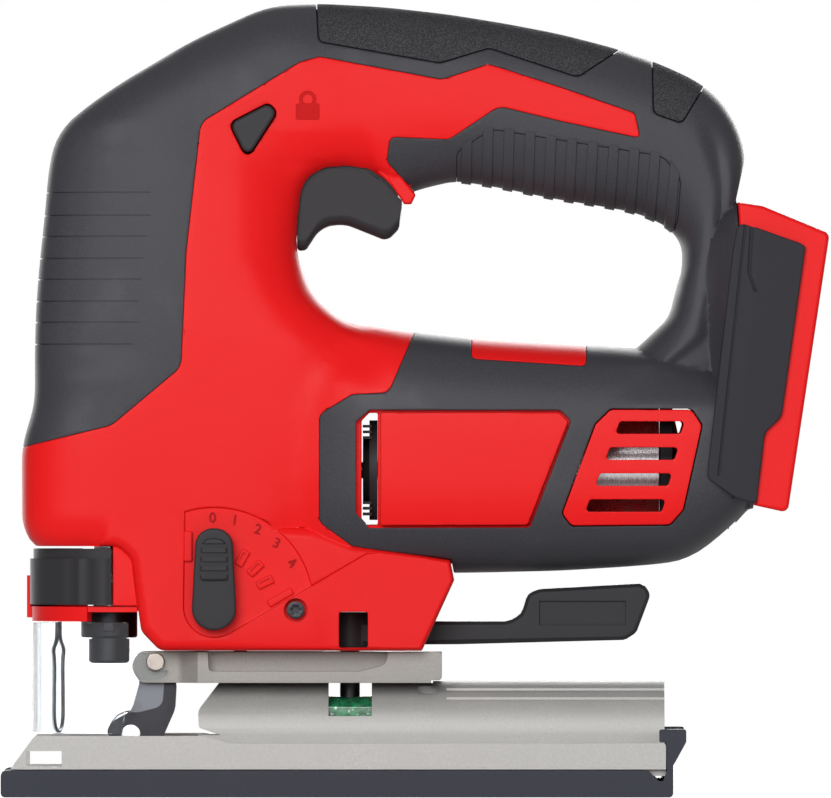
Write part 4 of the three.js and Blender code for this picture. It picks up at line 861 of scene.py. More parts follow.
# Sections of head, handle and rear post, from the nose round the loop: x and z of the outer edge,
# x and z of the edge towards the hand, half width, squareness.
LOOP: list[Section] = [
    (-89.4, 75.2, -6, 75.2, 22.5, 5),
    (-93.6, 79.4, -4, 78, 26, 5),
    (-93.7, 105, 14, 112, 26.5, 5),
    (-89.7, 118.5, 15, 136, 26.5, 5),
    (-89.8, 134.6, 0, 144.6, 26.5, 5),
    (-89.4, 147.6, -7.6, 152.5, 26, 4.6),
    (-88.3, 161, -10.8, 164, 25.4, 4.4),
    (-86.7, 176, -10, 174, 24.6, 4.2),
    (-85.6, 189.5, -8.9, 182.5, 23.8, 4),
    (-83.2, 199.4, -6.8, 185.4, 23, 3.9),
    (-75.6, 206.4, -4, 187.4, 22.3, 3.7),
    (-63.8, 214.6, -0.6, 188.5, 21.5, 3.6),
    (-42.4, 227.3, 6, 188.2, 20.4, 3.3),
    (-19.8, 237.6, 14.4, 185.7, 19.5, 3),
    (-5, 238.5, 21, 180.8, 18.9, 2.8),
    (15, 237.4, 28, 183, 18.5, 2.7),
    (34, 235.3, 36.6, 185, 18.5, 2.7),
    (52, 232.4, 50, 182.9, 18.5, 2.7),
    (68.1, 229.3, 66, 179.6, 18.5, 2.7),
    (85.5, 224.8, 80, 177.4, 18.5, 2.7),
    (98.6, 220.2, 90, 175.6, 18.5, 2.7),
    (111, 214.4, 96.5, 173.2, 18.5, 2.7),
    (118.6, 207.4, 101.8, 170.2, 18.6, 2.8),
    (124.3, 194.8, 105, 165.5, 18.8, 2.9),
    (123.4, 180, 105, 158.4, 19.2, 3),
    (123, 164, 103.3, 153, 19.8, 3),
    (123, 146, 101.1, 144, 20.6, 3),
    (123.4, 128, 95.5, 138.5, 22, 3),
    (124, 110, 84, 128, 25, 3),
]
# Upright sections of the motor body: x, underside, top, half width, squareness.
BARREL: list[Section] = [
    (-16, 73, 136, 23, 4),
    (-5, 68.4, 140.4, 27.5, 3.6),
    (6, 66.9, 142.2, 30.5, 3.4),
    (24, 67, 139.5, 32, 3.3),
    (42, 67.1, 137.5, 32.3, 3.3),
    (68, 67.7, 135.9, 32.3, 3.3),
    (88, 68.9, 134.9, 32.3, 3.3),
    (100, 69.9, 134, 32.3, 3.3),
    (107, 71.2, 132, 32.3, 3.3),
    (115.5, 77.3, 130, 32.2, 3.3),
    (121, 82.6, 127, 32, 3.3),
    (127, 88, 124, 31.6, 3.3),
]
# Upright sections from the rear post to the width of the battery foot.
FLARE: list[Section] = [
    (108, 100, 164, 12, 4),
    (111.5, 95, 170, 19, 4.4),
    (115.5, 91, 175, 25.5, 5),
    (121, 87.5, 178.2, 31.4, 6),
    (128, 86, 178.6, 32.6, 6),
]


def between(sections: Sequence[Section], step: float, bend: float = 5.0) -> list[list[float]]:
    """Shares sections evenly along the given ones, with the bends between straight runs softened.

    Args:
        sections: The given sections.
        step: The distance between two sections, in millimetres.
        bend: How far a bend reaches to either side.

    Returns:
        The shared sections, with both ends as given.
    """
    spots = [Vector((s[0] + s[2], s[1] + s[3])) / 2 for s in sections]
    edges = [Vector((s[0], s[1])) for s in sections]
    knots = [0.0]
    for i in range(1, len(sections)):
        gap = ((spots[i] - spots[i - 1]).length + (edges[i] - edges[i - 1]).length) / 2
        knots.append(knots[-1] + max(gap, 0.5))
    whole = knots[-1]

    def straight(at: float) -> list[float]:
        """The section on the straight run between two given ones."""
        i = min(max(1, sum(k < at for k in knots)), len(knots) - 1)
        part = (at - knots[i - 1]) / (knots[i] - knots[i - 1])
        return [a * (1 - part) + b * part for a, b in zip(sections[i - 1], sections[i])]

    out: list[list[float]] = []
    count = math.ceil(whole / step)
    for j in range(count + 1):
        at = whole * j / count
        soft = min(bend, at, whole - at)
        taps = [straight(at + soft * k / 4) for k in range(-4, 5)]
        out.append([sum(numbers) / len(taps) for numbers in zip(*taps)])
    return out


@cache
def ring_places(square: float, sides: int) -> list[Point]:
    """Evenly shared points of a rounded square of half width 1.

    Args:
        square: The squareness; 2 is a circle.
        sides: The number of points.

    Returns:
        (along, across) from the front round by the right side.
    """

    def power(number: float) -> float:
        """A sine or cosine, drawn towards the corner of the square."""
        return math.copysign(abs(number) ** (2 / square), number) if abs(number) > 1e-9 else 0.0

    dense = 16 * sides
    turns = [2 * math.pi * i / dense for i in range(dense + 1)]
    spots = [(power(math.cos(turn)), power(math.sin(turn))) for turn in turns]
    reach = [0.0]
    for (a, b), (c, d) in zip(spots, spots[1:]):
        reach.append(reach[-1] + math.hypot(c - a, d - b))
    shared = [0.5 * r / reach[-1] + 0.5 * i / dense for i, r in enumerate(reach)]
    out: list[Point] = []
    at = 0
    for i in range(sides):
        want = i / sides
        while shared[at + 1] < want:
            at += 1
        part = (want - shared[at]) / (shared[at + 1] - shared[at])
        (a, b), (c, d) = spots[at : at + 2]
        out.append((a * (1 - part) + c * part, b * (1 - part) + d * part))
    return out


def loft(sections: Sequence[Section], inset: float, sides: int, step: float) -> Form:
    """Bridges rings through a run of sections.

    Args:
        sections: The sections, with four coordinates of their edges or three if they are upright.
        inset: How far the form lies inside the sections.
        sides: The points of a ring.
        step: The distance between rings.

    Returns:
        The closed form.
    """
    if len(sections[0]) == 5:
        sections = [(x, high, x, low, half, square) for x, low, high, half, square in sections]
    bm = bmesh.new()
    rings: list[list[BMEdge]] = []
    for x0, z0, x1, z1, half, square in between(sections, step):
        made = bmesh.ops.create_circle(bm, cap_ends=False, segments=sides, radius=1.0)["verts"]
        reach = math.hypot(x0 - x1, z0 - z1) / 2
        grow = (reach - inset) / reach / 2
        for vert, (along, across) in zip(made, ring_places(round(square, 2), sides)):
            vert.co = (
                (x0 + x1) / 2 + (x0 - x1) * grow * along,
                across * (half - inset),
                (z0 + z1) / 2 + (z0 - z1) * grow * along,
            )
        rings.append(list({e for v in made for e in v.link_edges}))
    for first, second in zip(rings, rings[1:]):
        bmesh.ops.bridge_loops(bm, edges=first + second)
    for end in (rings[0], rings[-1]):
        bmesh.ops.contextual_create(bm, geom=end)
    bmesh.ops.recalc_face_normals(bm, faces=bm.faces[:])
    return Form(bm)


@dataclass(frozen=True)
class Crease:
    """A fold on the sides of the shell, with the form drawn in on one side of it."""

    line: tuple[Point, ...]  # x and z, from the top down
    towards: int  # 1 draws in behind the line, -1 ahead of it
    slope: float
    deepest: float
    end: float = FAR

    def inwards(self, spot: Vector) -> float:
        """How far a point is drawn in."""
        top, bottom = self.line[0][1], self.line[-1][1]
        for (x0, z0), (x1, z1) in zip(self.line, self.line[1:]):
            if z1 <= spot.z <= z0:
                away = self.towards * (spot.x - (x0 + (x1 - x0) * (z0 - spot.z) / (z0 - z1)))
                strength = min(1.0, (top - spot.z) / 10, (spot.z - bottom) / 8)
                faded = max(self.end - spot.x, 0.0) * 0.5
                return min(max(away, 0.0) * self.slope, self.deepest, faded) * strength
        return 0.0


ROOT_CREASE = Crease(((-27.3, 200), (-26.7, 163), (-17.4, 144.6), (-5, 131), (2, 122)), 1, 0.2, 2.6)
NOSE_CREASE = Crease(((-48.2, 203), (-48.9, 191.4), (-53.4, 138.3), (-54.2, 126)), -1, 0.09, 2.4)
POST_LINE = (
    (108, 206), (110.6, 196.8), (114.5, 183.4), (113.9, 164.1),
    (109.4, 139), (106.7, 135.7), (90.5, 124.3), (84, 119),
)
POST_CREASE = Crease(POST_LINE, 1, 0.6, 2.0, 119.5)
# The line between shell and battery foot, from the top down.
REAR_LINE = ((125, 196.6), (121.2, 179.2), (121.4, 178.4), (126.4, 87.4), (127, 76))


def behind_rear(by: float) -> Form:
    """Everything behind the line between shell and battery foot, and a distance ahead of it."""
    ends = [(250, REAR_LINE[-1][1]), (250, REAR_LINE[0][1])]
    return Form.through([(x - by, z) for x, z in REAR_LINE] + ends)


@dataclass(frozen=True)
class ShellForms:
    """The outer form of head, handle, post and motor body, at any depth."""

    sides: int = 112
    step: float = 2.2
    hidden_sides: int = 48
    hidden_step: float = 6.0
    handle_root: float = 12.0  # the crease of the handle's root ends at this x

    def whole(self, inset: float, seen: bool) -> Form:
        """The united lofts, set in by a distance."""
        sides = self.sides if seen else self.hidden_sides
        step = self.step if seen else self.hidden_step
        whole = loft(LOOP, inset, sides, step).joined(
            loft(BARREL, inset, sides, step * 1.4),
            loft(FLARE, inset, sides, step),
        )
        if not seen:
            return whole
        for vert in whole.bm.verts:
            if vert.co.x <= self.handle_root:
                width = max(abs(vert.co.y) - ROOT_CREASE.inwards(vert.co), 0.0)
                vert.co.y = math.copysign(width, vert.co.y)
        return whole.blended(45.0, 6.0, 14).blended(130.0, 2.6, 3)

    def creased(self, form: Form) -> Form:
        """Draws the soft shell in before the crease of the nose and behind the one of the post."""
        for vert in form.bm.verts:
            crease = NOSE_CREASE if vert.co.x < 0 else POST_CREASE
            vert.co.y *= 1 - crease.inwards(vert.co) / 24
        return form

    @cache
    def at(self, inset: float, seen: bool = False) -> Form:
        """The form at a depth, ended at the battery foot; it isn't changed in place."""
        return self.whole(inset, seen).cut(behind_rear(SEAM))

    def skin(self, corners: Sequence[Corner], top: float, bottom: float) -> Form:
        """A skin of the shell between two depths, inside a side view."""
        return self.at(top, True).common(Form.through(corners)).cut(self.at(bottom))


# ---------------------------------------------------------------- side views of what covers the shell

SOFT_LIMIT: list[Corner] = [
    (-120, 105), (-93.6, 105), (-66.6, 111.6, 6), (-45.8, 129, 5), (-44.2, 164, 12), (-39.9, 202.5, 5),
    (-9.9, 220.8, 4), (-4, 222.4, 3), (32.7, 215.5, 5),
    (46.8, 220.2, 5), (68.1, 213.3, 3), (90.8, 205.4, 2),
    (92.4, 197.6, 1), (68.1, 202.8, 8), (49.9, 207.2, 5),
    (34.9, 197.2, 4), (17.2, 198, 2), (16.3, 190.8, 2),
    (25.2, 181, 2), (36, 165, 4), (36, 150, 4), (24.6, 139.4, 1), (16.8, 121.2, 3), (5.7, 120.6, 3),
    (-4, 114.7, 3), (-4, 82.5, 3), (6.2, 75.1, 3), (6.2, 50), (160, 50), (160, 260), (-120, 260),
]
RED_INLAY: list[Corner] = [(41.9, 146), (41.7, 131.6, 1.5), (75.9, 129.4, 1.5), (75.9, 146)]
LOWER_BODY: list[Corner] = [
    (-58.5, 92), (-58.5, 57), (-57.6, 49.6, 4), (-52, 43.8, 4),
    (26.7, 43.8), (36.4, 65), (35.2, 71), (6, 76),
    (-6, 80.5, 6), (-22, 81.5, 6), (-38, 92, 6),
]
NOSE_WALL: list[Corner] = [(-66.1, 57.3, 0.4), (-56.5, 57.3), (-56.5, 78.2), (-66.1, 78.2)]
NOSE_FILLET: list[Corner] = [
    (-70, 92), (-70, 75.3), (-64.6, 75.2, 4), (-60.6, 71.6, 3),
    (-59.4, 62), (-57.6, 49.6, 4), (-52, 43.8, 4),
    (-40, 43.8), (-40, 92),
]
TRIGGER_WAY: list[Corner] = [
    (-13.2, 160), (-13.1, 164), (-11.1, 183), (-10.2, 192.5, 4),
    (-2, 198.2, 4), (17, 196.4, 4), (24, 188.5, 3),
    (24, 179), (22.4, 176), (22.4, 160),
]
TRIGGER_LIP: list[Corner] = [
    (13.5, 187.5), (17.4, 183.8), (20.5, 179.4, 0.5),
    (21.3, 178.1, 0.5), (23.5, 178.1, 0.7), (24.8, 180.8, 0.5),
    (17, 190.5),
]
TOP_PAD: list[Corner] = [
    (-5.6, 250), (-4.2, 226.9, 2), (32.1, 220.5, 4), (46.8, 225, 4),
    (73.5, 216.3, 3), (88, 225.8), (90, 250),
]
REAR_PAD: list[Corner] = [(95.6, 250), (96.4, 205.4, 2), (104.7, 202.4, 2), (113, 216), (120, 250)]
FINGER_ZONE: list[Corner] = [
    (37, 170), (37.2, 193.6, 3), (47.7, 200.3, 5), (99.4, 192.2, 6),
    (104.4, 185.1, 4), (103.4, 172, 3), (94, 165),
]
MOTOR_PANEL: list[Corner] = [
    (14.2, 115.4, 0.8), (67.8, 115.4, 1), (70.6, 112.6, 1), (58.4, 81.6, 1), (14.2, 81.4, 0.8),
]
PANEL_RECESS: list[Corner] = [
    (6.9, 112.5, 1), (11.1, 116.1, 1), (68.1, 116.1, 1.5),
    (71.4, 112.8, 1.5), (59.1, 80.8, 1.5), (10.8, 80.7, 1),
    (6.9, 85.2, 1),
]
COOLING_SLOT: list[Corner] = [(8.5, 81.6), (13.4, 81.6), (13.4, 115.2), (10.8, 115.2), (8.5, 112.8)]
VENT: list[Corner] = [
    (78.8, 111.8, 2), (83.3, 116.2, 2), (107.5, 116.2, 2),
    (110.6, 111.5, 2), (105, 86.2, 2), (101.1, 81.7, 2),
    (71.6, 81.4, 2), (68.8, 85, 2),
]
LEVER_WINDOW: list[Corner] = [(1.8, 44.7, 0.8), (10.4, 44.7, 0.8), (10.4, 55.5, 0.8), (1.8, 55.5, 0.8)]
LOCK: list[Corner] = [(-31, 202.1, 2.4), (-19.4, 208.1, 2.1), (-17, 205.4, 2.1), (-25.8, 191.6, 2.2)]
LOCK_SIGN: list[Corner] = [(-11.2, 203.2, 0.7), (-4, 203.2, 0.7), (-4, 208.2, 0.7), (-11.2, 208.2, 0.7)]


def strip(low: Span, high: Span, z: Span, radius: float = 0.0) -> list[Corner]:
    """A four-sided side view between two heights, from its x at the lower and at the upper one."""
    return [(low[0], z[0], radius), (low[1], z[0], radius), (high[1], z[1], radius), (high[0], z[1], radius)]


@dataclass(frozen=True)
class ShellScrew:
    """One screw of the shell."""

    side: Side
    x: float
    z: float
    depth: float
    head: float = 2.6
    shank: float = 1.6

    def rod(self, radius: float, a: float, b: float, sides: int = 32, off: Point = (0.0, 0.0)) -> Form:
        """A bar between two depths, on the screw's axis or off it."""
        return Form.rod(Axis.Y, radius, self.side.span(a, b), (self.x + off[0], self.z + off[1]), sides)

    def hole(self) -> Form:
        """The recess and pilot hole in the shell."""
        pilot = self.rod(self.shank + GAP, self.depth - 21, self.depth)
        return pilot.joined(self.rod(self.head + 1, self.depth - 2.2, 200))

    def screw(self) -> Form:
        """The screw, with a six-lobed socket in a domed head."""
        d = self.depth
        turns = [k * math.pi / 3 for k in range(6)]
        lobes = [
            self.rod(0.42, d - 1, d + 2, 16, (1.05 * math.cos(turn), 1.05 * math.sin(turn))) for turn in turns
        ]
        body = self.rod(self.head, d - 1.9, d + 0.3, 40).joined(self.rod(self.shank, d - 20, d - 1, 24))
        return body.cut(self.rod(1.1, d - 1, d + 2, 24), *lobes).eased(0.12, 2, 40.0)


SCREWS = (
    ShellScrew(Side.LEFT, -11.2, 56, 23.5),
    ShellScrew(Side.RIGHT, -70, 196, 17.5),
    ShellScrew(Side.RIGHT, 58, 209.5, 12),
    ShellScrew(Side.RIGHT, 62, 74.5, 25),
    ShellScrew(Side.RIGHT, -30, 163, 22.5),
)


@dataclass(frozen=True)
class Dial:
    """The sector round the selector, sunk in the left face, with its stops and numbers."""

    radius: float = 29.9
    number_r: float = 26.7
    number_turns: tuple[float, ...] = (-1.0, 13.4, 29.4, 44.4, 60.5)
    bar_turns: tuple[float, ...] = (30, 47, 64)

    @staticmethod
    def rim(radius: float, start: float, end: float, steps: int) -> list[Corner]:
        """Points on an arc round the selector, from the top towards the back."""
        x, z = SELECTOR
        turns = [start + (end - start) * i / steps for i in range(steps + 1)]
        return [(x + radius * math.sin(t), z + radius * math.cos(t)) for t in turns]

    def cuts(self) -> list[Form]:
        """The sunk sector, the step beside it, the shaft's hole and the room of the cam."""
        sector = self.rim(self.radius, -0.3, 1.36, 28) + self.rim(9.2, 2.61, 1.5 * math.pi, 16)
        x, z = SELECTOR[0] + 4.6, SELECTOR[1] - 8
        step = [(x, z), (3.2, 69), (10, 73), (40, 73), (40, 30), (x, 30)]
        return [
            Form.slab(sector, (-FAR, -FACE_Y + 1)),
            Form.slab(step, (-FAR, -FACE_Y)).swung(Axis.Z, 0.9, (x, -FACE_Y, 0)),
            Form.rod(Axis.Y, 3.6, (-FAR, -11), SELECTOR),
            Form.rod(Axis.Y, 7, (-17.6, -10.5), SELECTOR, 40),
        ]

    def blocks(self) -> list[Form]:
        """The stops of the selector and the bars between lever and numbers."""
        x, z = SELECTOR
        deep = -FACE_Y + 1.1
        bars = []
        for turn in self.bar_turns:
            bar = Form.block((-1.3, 1.3), (-FACE_Y - 0.25, deep), (14.4, 19.6)).eased(0.35, 3)
            cup = Form.block((-0.6, 0.6), (-FACE_Y - 1, -FACE_Y + 0.75), (15.3, 18.7))
            bars.append(bar.cut(cup).swung(Axis.Y, turn).moved(x, 0, z))
        upper = Form.block((-9.1, -6.5), (-FACE_Y - 0.5, deep), (13.6, 22.8)).eased(0.5, 3).moved(x, 0, z)
        lower = Form.block((-4.2, 4.2), (-FACE_Y - 0.1, deep), (-1.1, 1.1)).eased(0.4, 3)
        return [upper, lower.swung(Axis.Y, -30.2).moved(x + 19.9, 0, z + 2.9), *bars]

    def numbers(self) -> Form:
        """Plain numbers 0 to 4 round the selector."""
        marks = bmesh.new()
        for number, turn in enumerate(self.number_turns):
            text = bpy.data.curves.new("number", "FONT")
            text.body = str(number)
            text.size = 4.3
            text.offset = -0.035
            text.align_x = text.align_y = "CENTER"
            text.extrude = 0.35
            text.bevel_depth = 0.06
            lean = math.radians(turn)
            x, z = self.rim(self.number_r, lean, lean, 1)[0]
            upright = Matrix.Rotation(lean * 0.55, 4, "Y") @ Matrix.Rotation(math.pi / 2, 4, "X")
            drain(linked("number", text), marks, Matrix.Translation((x, -FACE_Y + 0.8, z)) @ upright)
        return Form(marks)


@dataclass(frozen=True)
class Shell:
    """The two hard shell halves, the soft shell over them and what is set into it."""

    forms: ShellForms
    dial: Dial
    groove_z: tuple[float, ...] = (181.2, 174.3, 168, 161.4, 155.1, 148.5, 142.2, 135.6)
    groove_end: tuple[float, ...] = (-55.2, -55.2, -56.4, -57.3, -57.9, -58.8, -58.8, -60.6)
    groove_width: float = 0.42
    ribs: int = 11
    rib_pitch: float = 6.2
    rib_width: float = 3.0
    louvres: int = 4
    louvre_pitch: float = 7.8
    louvre_height: float = 3.7

    def soft_zone(self, by: float) -> Form:
        """The side-view zone of the soft shell, through the tool."""
        return Form.through(SOFT_LIMIT, by).cut(Form.through(RED_INLAY, -by))

    def lower_body(self, by: float = 0.0) -> Form:
        """The slab-sided body under the head, grown by a distance."""
        return Form.slab(grown(LOWER_BODY, by), (-FACE_Y - by, FACE_Y + by), 3.2, 6)

    @cache
    def grooves(self) -> tuple[Form, ...]:
        """Shingle grooves across the front of the head."""
        core = self.forms.at(0.5, True)
        bands = [
            Form.slab(strip((-110, end), (-110, end + 0.6), (z, z + self.groove_width)), (-60, 60))
            for z, end in zip(self.groove_z, self.groove_end)
        ]
        return tuple(band.cut(core) for band in bands)

    def soft_shell(self) -> Form:
        """The dark soft shell over nose, handle, post and motor body."""
        body = self.forms.at(0.0, True).cut(self.forms.at(SKIN)).common(self.soft_zone(-SEAM))
        floor = self.forms.at(INSERT + GAP)
        gaps = ((TOP_PAD, GAP), (REAR_PAD, GAP), (FINGER_ZONE, 0.06))
        pockets = [Form.through(pad, gap).cut(floor) for pad, gap in gaps]
        way = Form.block((8, 21.8), (-9.9, 9.9), (160, 200))
        ends = (Form.through(PANEL_RECESS), Form.through(VENT, GAP), self.lower_body(GAP))
        return body.cut(*pockets, way, *ends)

    def vent_grille(self) -> Form:
        """The insert over the air outlet, with each lower slot further forward."""
        slots = []
        for i in range(self.louvres):
            low, front, back = 85.6 + self.louvre_pitch * i, 75.6 + 3 * i, 98.6 + 1.9 * i
            heights = (low, low + self.louvre_height)
            slots.append(Form.through(strip((front, back), (front + 1.5, back + 1.2), heights, 1)))
        return self.forms.skin(VENT, 0.5, 3.5).cut(*slots)

    def finger_grip(self) -> Form:
        """Ribbed rubber under the fingers."""
        bars = []
        for i in range(self.ribs):
            x, lean = 38.4 + self.rib_pitch * i, 0.5 + 0.22 * i
            low, high = ((x + by, x + self.rib_width + by) for by in (-lean, lean))
            bars.append(Form.slab(strip(low, high, (150, 210)), (-60, 60)))
        raised = self.forms.at(-0.42, True).cut(self.forms.at(1.0)).common(Form.through(FINGER_ZONE, -1))
        return self.forms.skin(FINGER_ZONE, 0.12, INSERT).joined(raised.common(bars[0].joined(*bars[1:])))

    def rooms(self) -> list[Form]:
        """Room inside the shell for everything that is mounted in it."""
        return [
            Form.block((-80.5, -29), (-22.5, 22.5), (84, 159)),  # gear frame
            Form.block((-80.5, -29), (-12.5, 12.5), (76.4, 87)),  # lower end of the gear frame
            Form.rod(Axis.Z, 2.1, (40, 55), (-28, 0), 24),  # screw of the shoe bracket
            Form.rod(Axis.X, 2.5, (-63.2, -53.9), (15.5, 62.5), 24),  # work light
            Form.block((-76.5, -58.5), (-9, 9), (156, 190)),  # plunger at the top of its stroke
            Form.rod(Axis.Z, 10.5, (38.8, 79.2), PLUNGER, 48),  # blade clamp
            Form.rod(Axis.X, 6.5, (-35, 16), MOTOR),  # shaft of the motor
            Form.rod(Axis.X, 20, (16, 111.5), MOTOR, 56),  # motor
            Form.slab(TRIGGER_WAY, (-10, 10)),
            Form.block((-8.3, 37.3), (-9.4, 9.4), (194.5, 214.3)),  # switch
            Form.through(LOCK, 0.35),
            Form.slab(grown(LOCK, 1.7), (-4.6, 4.6)),  # collar of the lock button
            Form.block((108, 113.2), (-9.4, 9.4), (131.5, 168.5)),  # control board
            Form.block((-3, 60), (-9, 60), (41.8, 56)),  # way of the bevel lever
            Form.slab(LEVER_WINDOW, (-FAR, 0)),
        ]

    def motor_front(self) -> Form:
        """The dark ring at the front of the motor, with the teeth that face the cooling slots."""
        profile = [(4.6, 8.9), (9.6, 8.9), (10.4, 10.9), (19.2, 10.9), (19.2, 13.3), (4.6, 13.3)]
        middles = [MOTOR[1] + side * (13.2 - 1.7 * i) for i in range(3) for side in (-1, 1)]
        teeth = [Form.block((8.9, 11.6), (-18, 18), (z - 0.4, z + 0.4)) for z in middles]
        ends = [Form.block((0, 30), (-12, 12), z) for z in ((108, 130), (60, 88))]
        return Form.turned(Axis.X, profile, MOTOR).joined(*teeth).cut(*ends)

    def lock_sign(self, by: float = 0.0) -> Form:
        """The outline of the lock sign beside the lock button, through the left side."""
        centre = (-7.6, 209.4)
        bow = Form.rod(Axis.Y, 2.6 + by, (-60, 0), centre).cut(
            Form.rod(Axis.Y, 1.5 - by, (-61, 1), centre),
            Form.block((-20, 10), (-61, 1), (200, 208)),
        )
        return Form.slab(grown(LOCK_SIGN, by), (-60, 0)).joined(bow)

    def hard_shell(self) -> Form:
        """Both shell halves in one, with the wall behind the left end of the release lever."""
        nose = [Form.slab(NOSE_WALL, (-23, -12)), Form.slab(NOSE_FILLET, (-FACE_Y, -14), 3.2, 6)]
        lips = [Form.slab(TRIGGER_LIP, span, 0.5, 2) for span in ((-13.5, -10), (10, 13.5))]
        outer = self.forms.at(0.0, True).cut(self.soft_zone(SEAM))
        return outer.joined(self.lower_body().joined(*nose), *lips).joined(self.forms.at(SKIN + GAP)).cut(
            *self.rooms(),
            Form.through(PANEL_RECESS).cut(self.forms.at(SKIN + GAP + 0.2)),
            Form.through(COOLING_SLOT),
            Form.through(VENT, -1.6),
            Form.through(VENT, GAP).cut(self.forms.at(3.8)),
        )

    def half_of_hard_shell(self, part: Form, side: Side) -> Form:
        """Finishes one hard half: screw holes, and on the left the dial and the lock sign."""
        holes = [s.hole() for s in SCREWS if s.side is side]
        if side is Side.RIGHT:
            return part.eased(0.4, 2, SHARP, MERGE).cut(holes[0].joined(*holes[1:]))
        sign = self.lock_sign().cut(self.forms.at(1.4))
        eased = part.cut(*self.dial.cuts()).eased(0.4, 2, SHARP, MERGE)
        return eased.cut(holes[0].joined(sign)).joined(*self.dial.blocks())

    def half_of_soft_shell(self, part: Form, side: Side) -> Form:
        """Finishes one soft half: grooves, screw holes and the creases."""
        first, *rest = [*self.grooves(), *(s.hole() for s in SCREWS if s.side is side)]
        return self.forms.creased(part.eased(0.4, 2, SHARP, MERGE).cut(first.joined(*rest)))

    def dress(self) -> None:
        """Makes all the pieces of the shell."""
        forms = self.forms
        hard = self.hard_shell()
        for side in Side:
            self.half_of_hard_shell(hard.half(side), side).piece(f"{side.value}_housing", "tool", RED)
        soft = self.soft_shell()
        for side in Side:
            skin = self.half_of_soft_shell(soft.half(side), side)
            skin.piece(f"{side.value}_overmould", "tool", DARK_SHELL)
        inserts = (
            ("top_pad", forms.skin(TOP_PAD, 0.0, INSERT), PEBBLE, 0.3),
            ("rear_pad", forms.skin(REAR_PAD, 0.0, INSERT), PEBBLE, 0.3),
            ("finger_grip", self.finger_grip(), RIBBED, 0.16),
            ("motor_panel", forms.skin(MOTOR_PANEL, 0.7, 2.7), RED, 0.4),
            ("vent_grille", self.vent_grille(), RED, 0.3),
        )
        for name, body, finish, ease in inserts:
            for side in Side:
                part = body.half(side).eased(ease, 2, SHARP, MERGE)
                part.piece(f"{side.value}_{name}", "tool", finish)
        # A thin darker red sheet on the floor of the lock sign's recess, as painted shade.
        painted_shade_sheet = forms.at(0.45, True).cut(forms.at(1.2))
        painted_shade_sheet.common(self.lock_sign(-0.06)).piece("lock_sign", "tool", SIGN_PAINTED_SHADE)
        self.motor_front().piece("motor_front_ring", "tool", BLACK)
        for i, screw in enumerate(SCREWS, 1):
            screw.screw().piece(f"housing_screw_{i}", "tool", BLACK_STEEL)


@dataclass(frozen=True)
class Controls:
    """Trigger, lock button, orbital selector and its numbers."""

    dial: Dial
    trigger_half: float = 9.5
    trigger_edge: float = 3.4
    trigger_top: float = 181.0
    trigger_rings: int = 16
    trigger_side: tuple[Corner, ...] = (
        (-1.6, 189, 4), (-9.1, 182.6, 5), (-11, 163.9, 1.2),
        (-8.2, 164.2, 1.6), (-3.6, 171.2, 7), (3.4, 172, 9),
        (16.2, 166.9, 3), (19.8, 170.6, 2.8), (20.8, 178.2, 2.2), (14.5, 185.2, 5), (7, 188, 6),
    )
    trigger_root: tuple[Corner, ...] = (
        (-12.2, 167.4, 1), (-10.6, 183.2, 4), (-8, 188.4, 4),
        (-2, 190.9, 4), (7, 190.2, 5), (14.6, 186.8, 5),
        (19.6, 181.2, 1.5), (19.2, 178.6, 1), (0, 178, 1),
    )
    lock_half: float = 23.6
    ridges: int = 4
    ridge_pitch: float = 2.7

    def trigger(self) -> Form:
        """The finger piece, rounded where the finger lies and hollow above for its spring."""
        half, edge, last = self.trigger_half, self.trigger_edge, self.trigger_rings - 1

        def place(ring: int, x: float, z: float) -> Point3:
            """Lifts the finger face towards both side faces."""
            turn = math.radians(min(ring, last - ring) * 90 / 7)
            share = min(max((self.trigger_top - z) / 10, 0.0), 1.0)
            y = half - edge * (1 - math.cos(turn))
            return x, math.copysign(y, ring - last / 2), z + edge * (1 - math.sin(turn)) * share

        body = Form.swept(self.trigger_side, self.trigger_rings, place)
        hollow = Form.block((-3, 12), (-half + 2.5, half - 2.5), (177, 200))
        return body.joined(Form.slab(self.trigger_root, (-half + 0.45, half - 0.45))).cut(hollow)

    def lock_button(self) -> Form:
        """The three-cornered button through the shell, with the collar that holds it."""
        button = Form.slab(LOCK, (-self.lock_half, self.lock_half), 0.9, 5)
        return button.joined(Form.slab(grown(LOCK, 1.1), (-1.2, 1.2)))

    def selector(self) -> Form:
        """The lever on the left face, with grip ridges, its shaft and its cam."""
        x, z = SELECTOR
        arm = [(x - 7, z - 7, 6.9), (x + 7, z - 7, 6.9), (x + 5.4, z + 23.6, 5.2), (x - 5.4, z + 23.6, 5.2)]
        top = [(x - 4.2, z + 8, 1), (x + 4.2, z + 8, 1), (x + 3.8, z + 20.6, 3), (x - 3.8, z + 20.6, 3)]
        body = Form.slab(arm, (-31.6, -FACE_Y - 0.3), 0.7).joined(Form.slab(top, (-33, -31), 0.6, 3))
        lows = [z + 9.6 + self.ridge_pitch * i for i in range(self.ridges)]
        ridges = [Form.block((x - 6, x + 6), (-33.4, -32.1), (low, low + 1.4)) for low in lows]
        shaft = Form.rod(Axis.Y, 3.2, (-FACE_Y - 1, -11), SELECTOR)
        cam = Form.rod(Axis.Y, 4.4, (-17, -11), (x + 1.6, z))
        return body.cut(*ridges).joined(shaft, cam).eased(0.2, 2, 50.0)

    def dress(self) -> None:
        """Makes the controls."""
        self.trigger().piece("trigger", "trigger_body", BLACK)
        self.lock_button().piece("lock_button", "lock", BLACK)
        self.selector().piece("selector_lever", "selector", BLACK)
        # The numbers are coloured darker red as painted shade.
        self.dial.numbers().piece("dial_numbers", "tool", RED_PAINTED_SHADE)


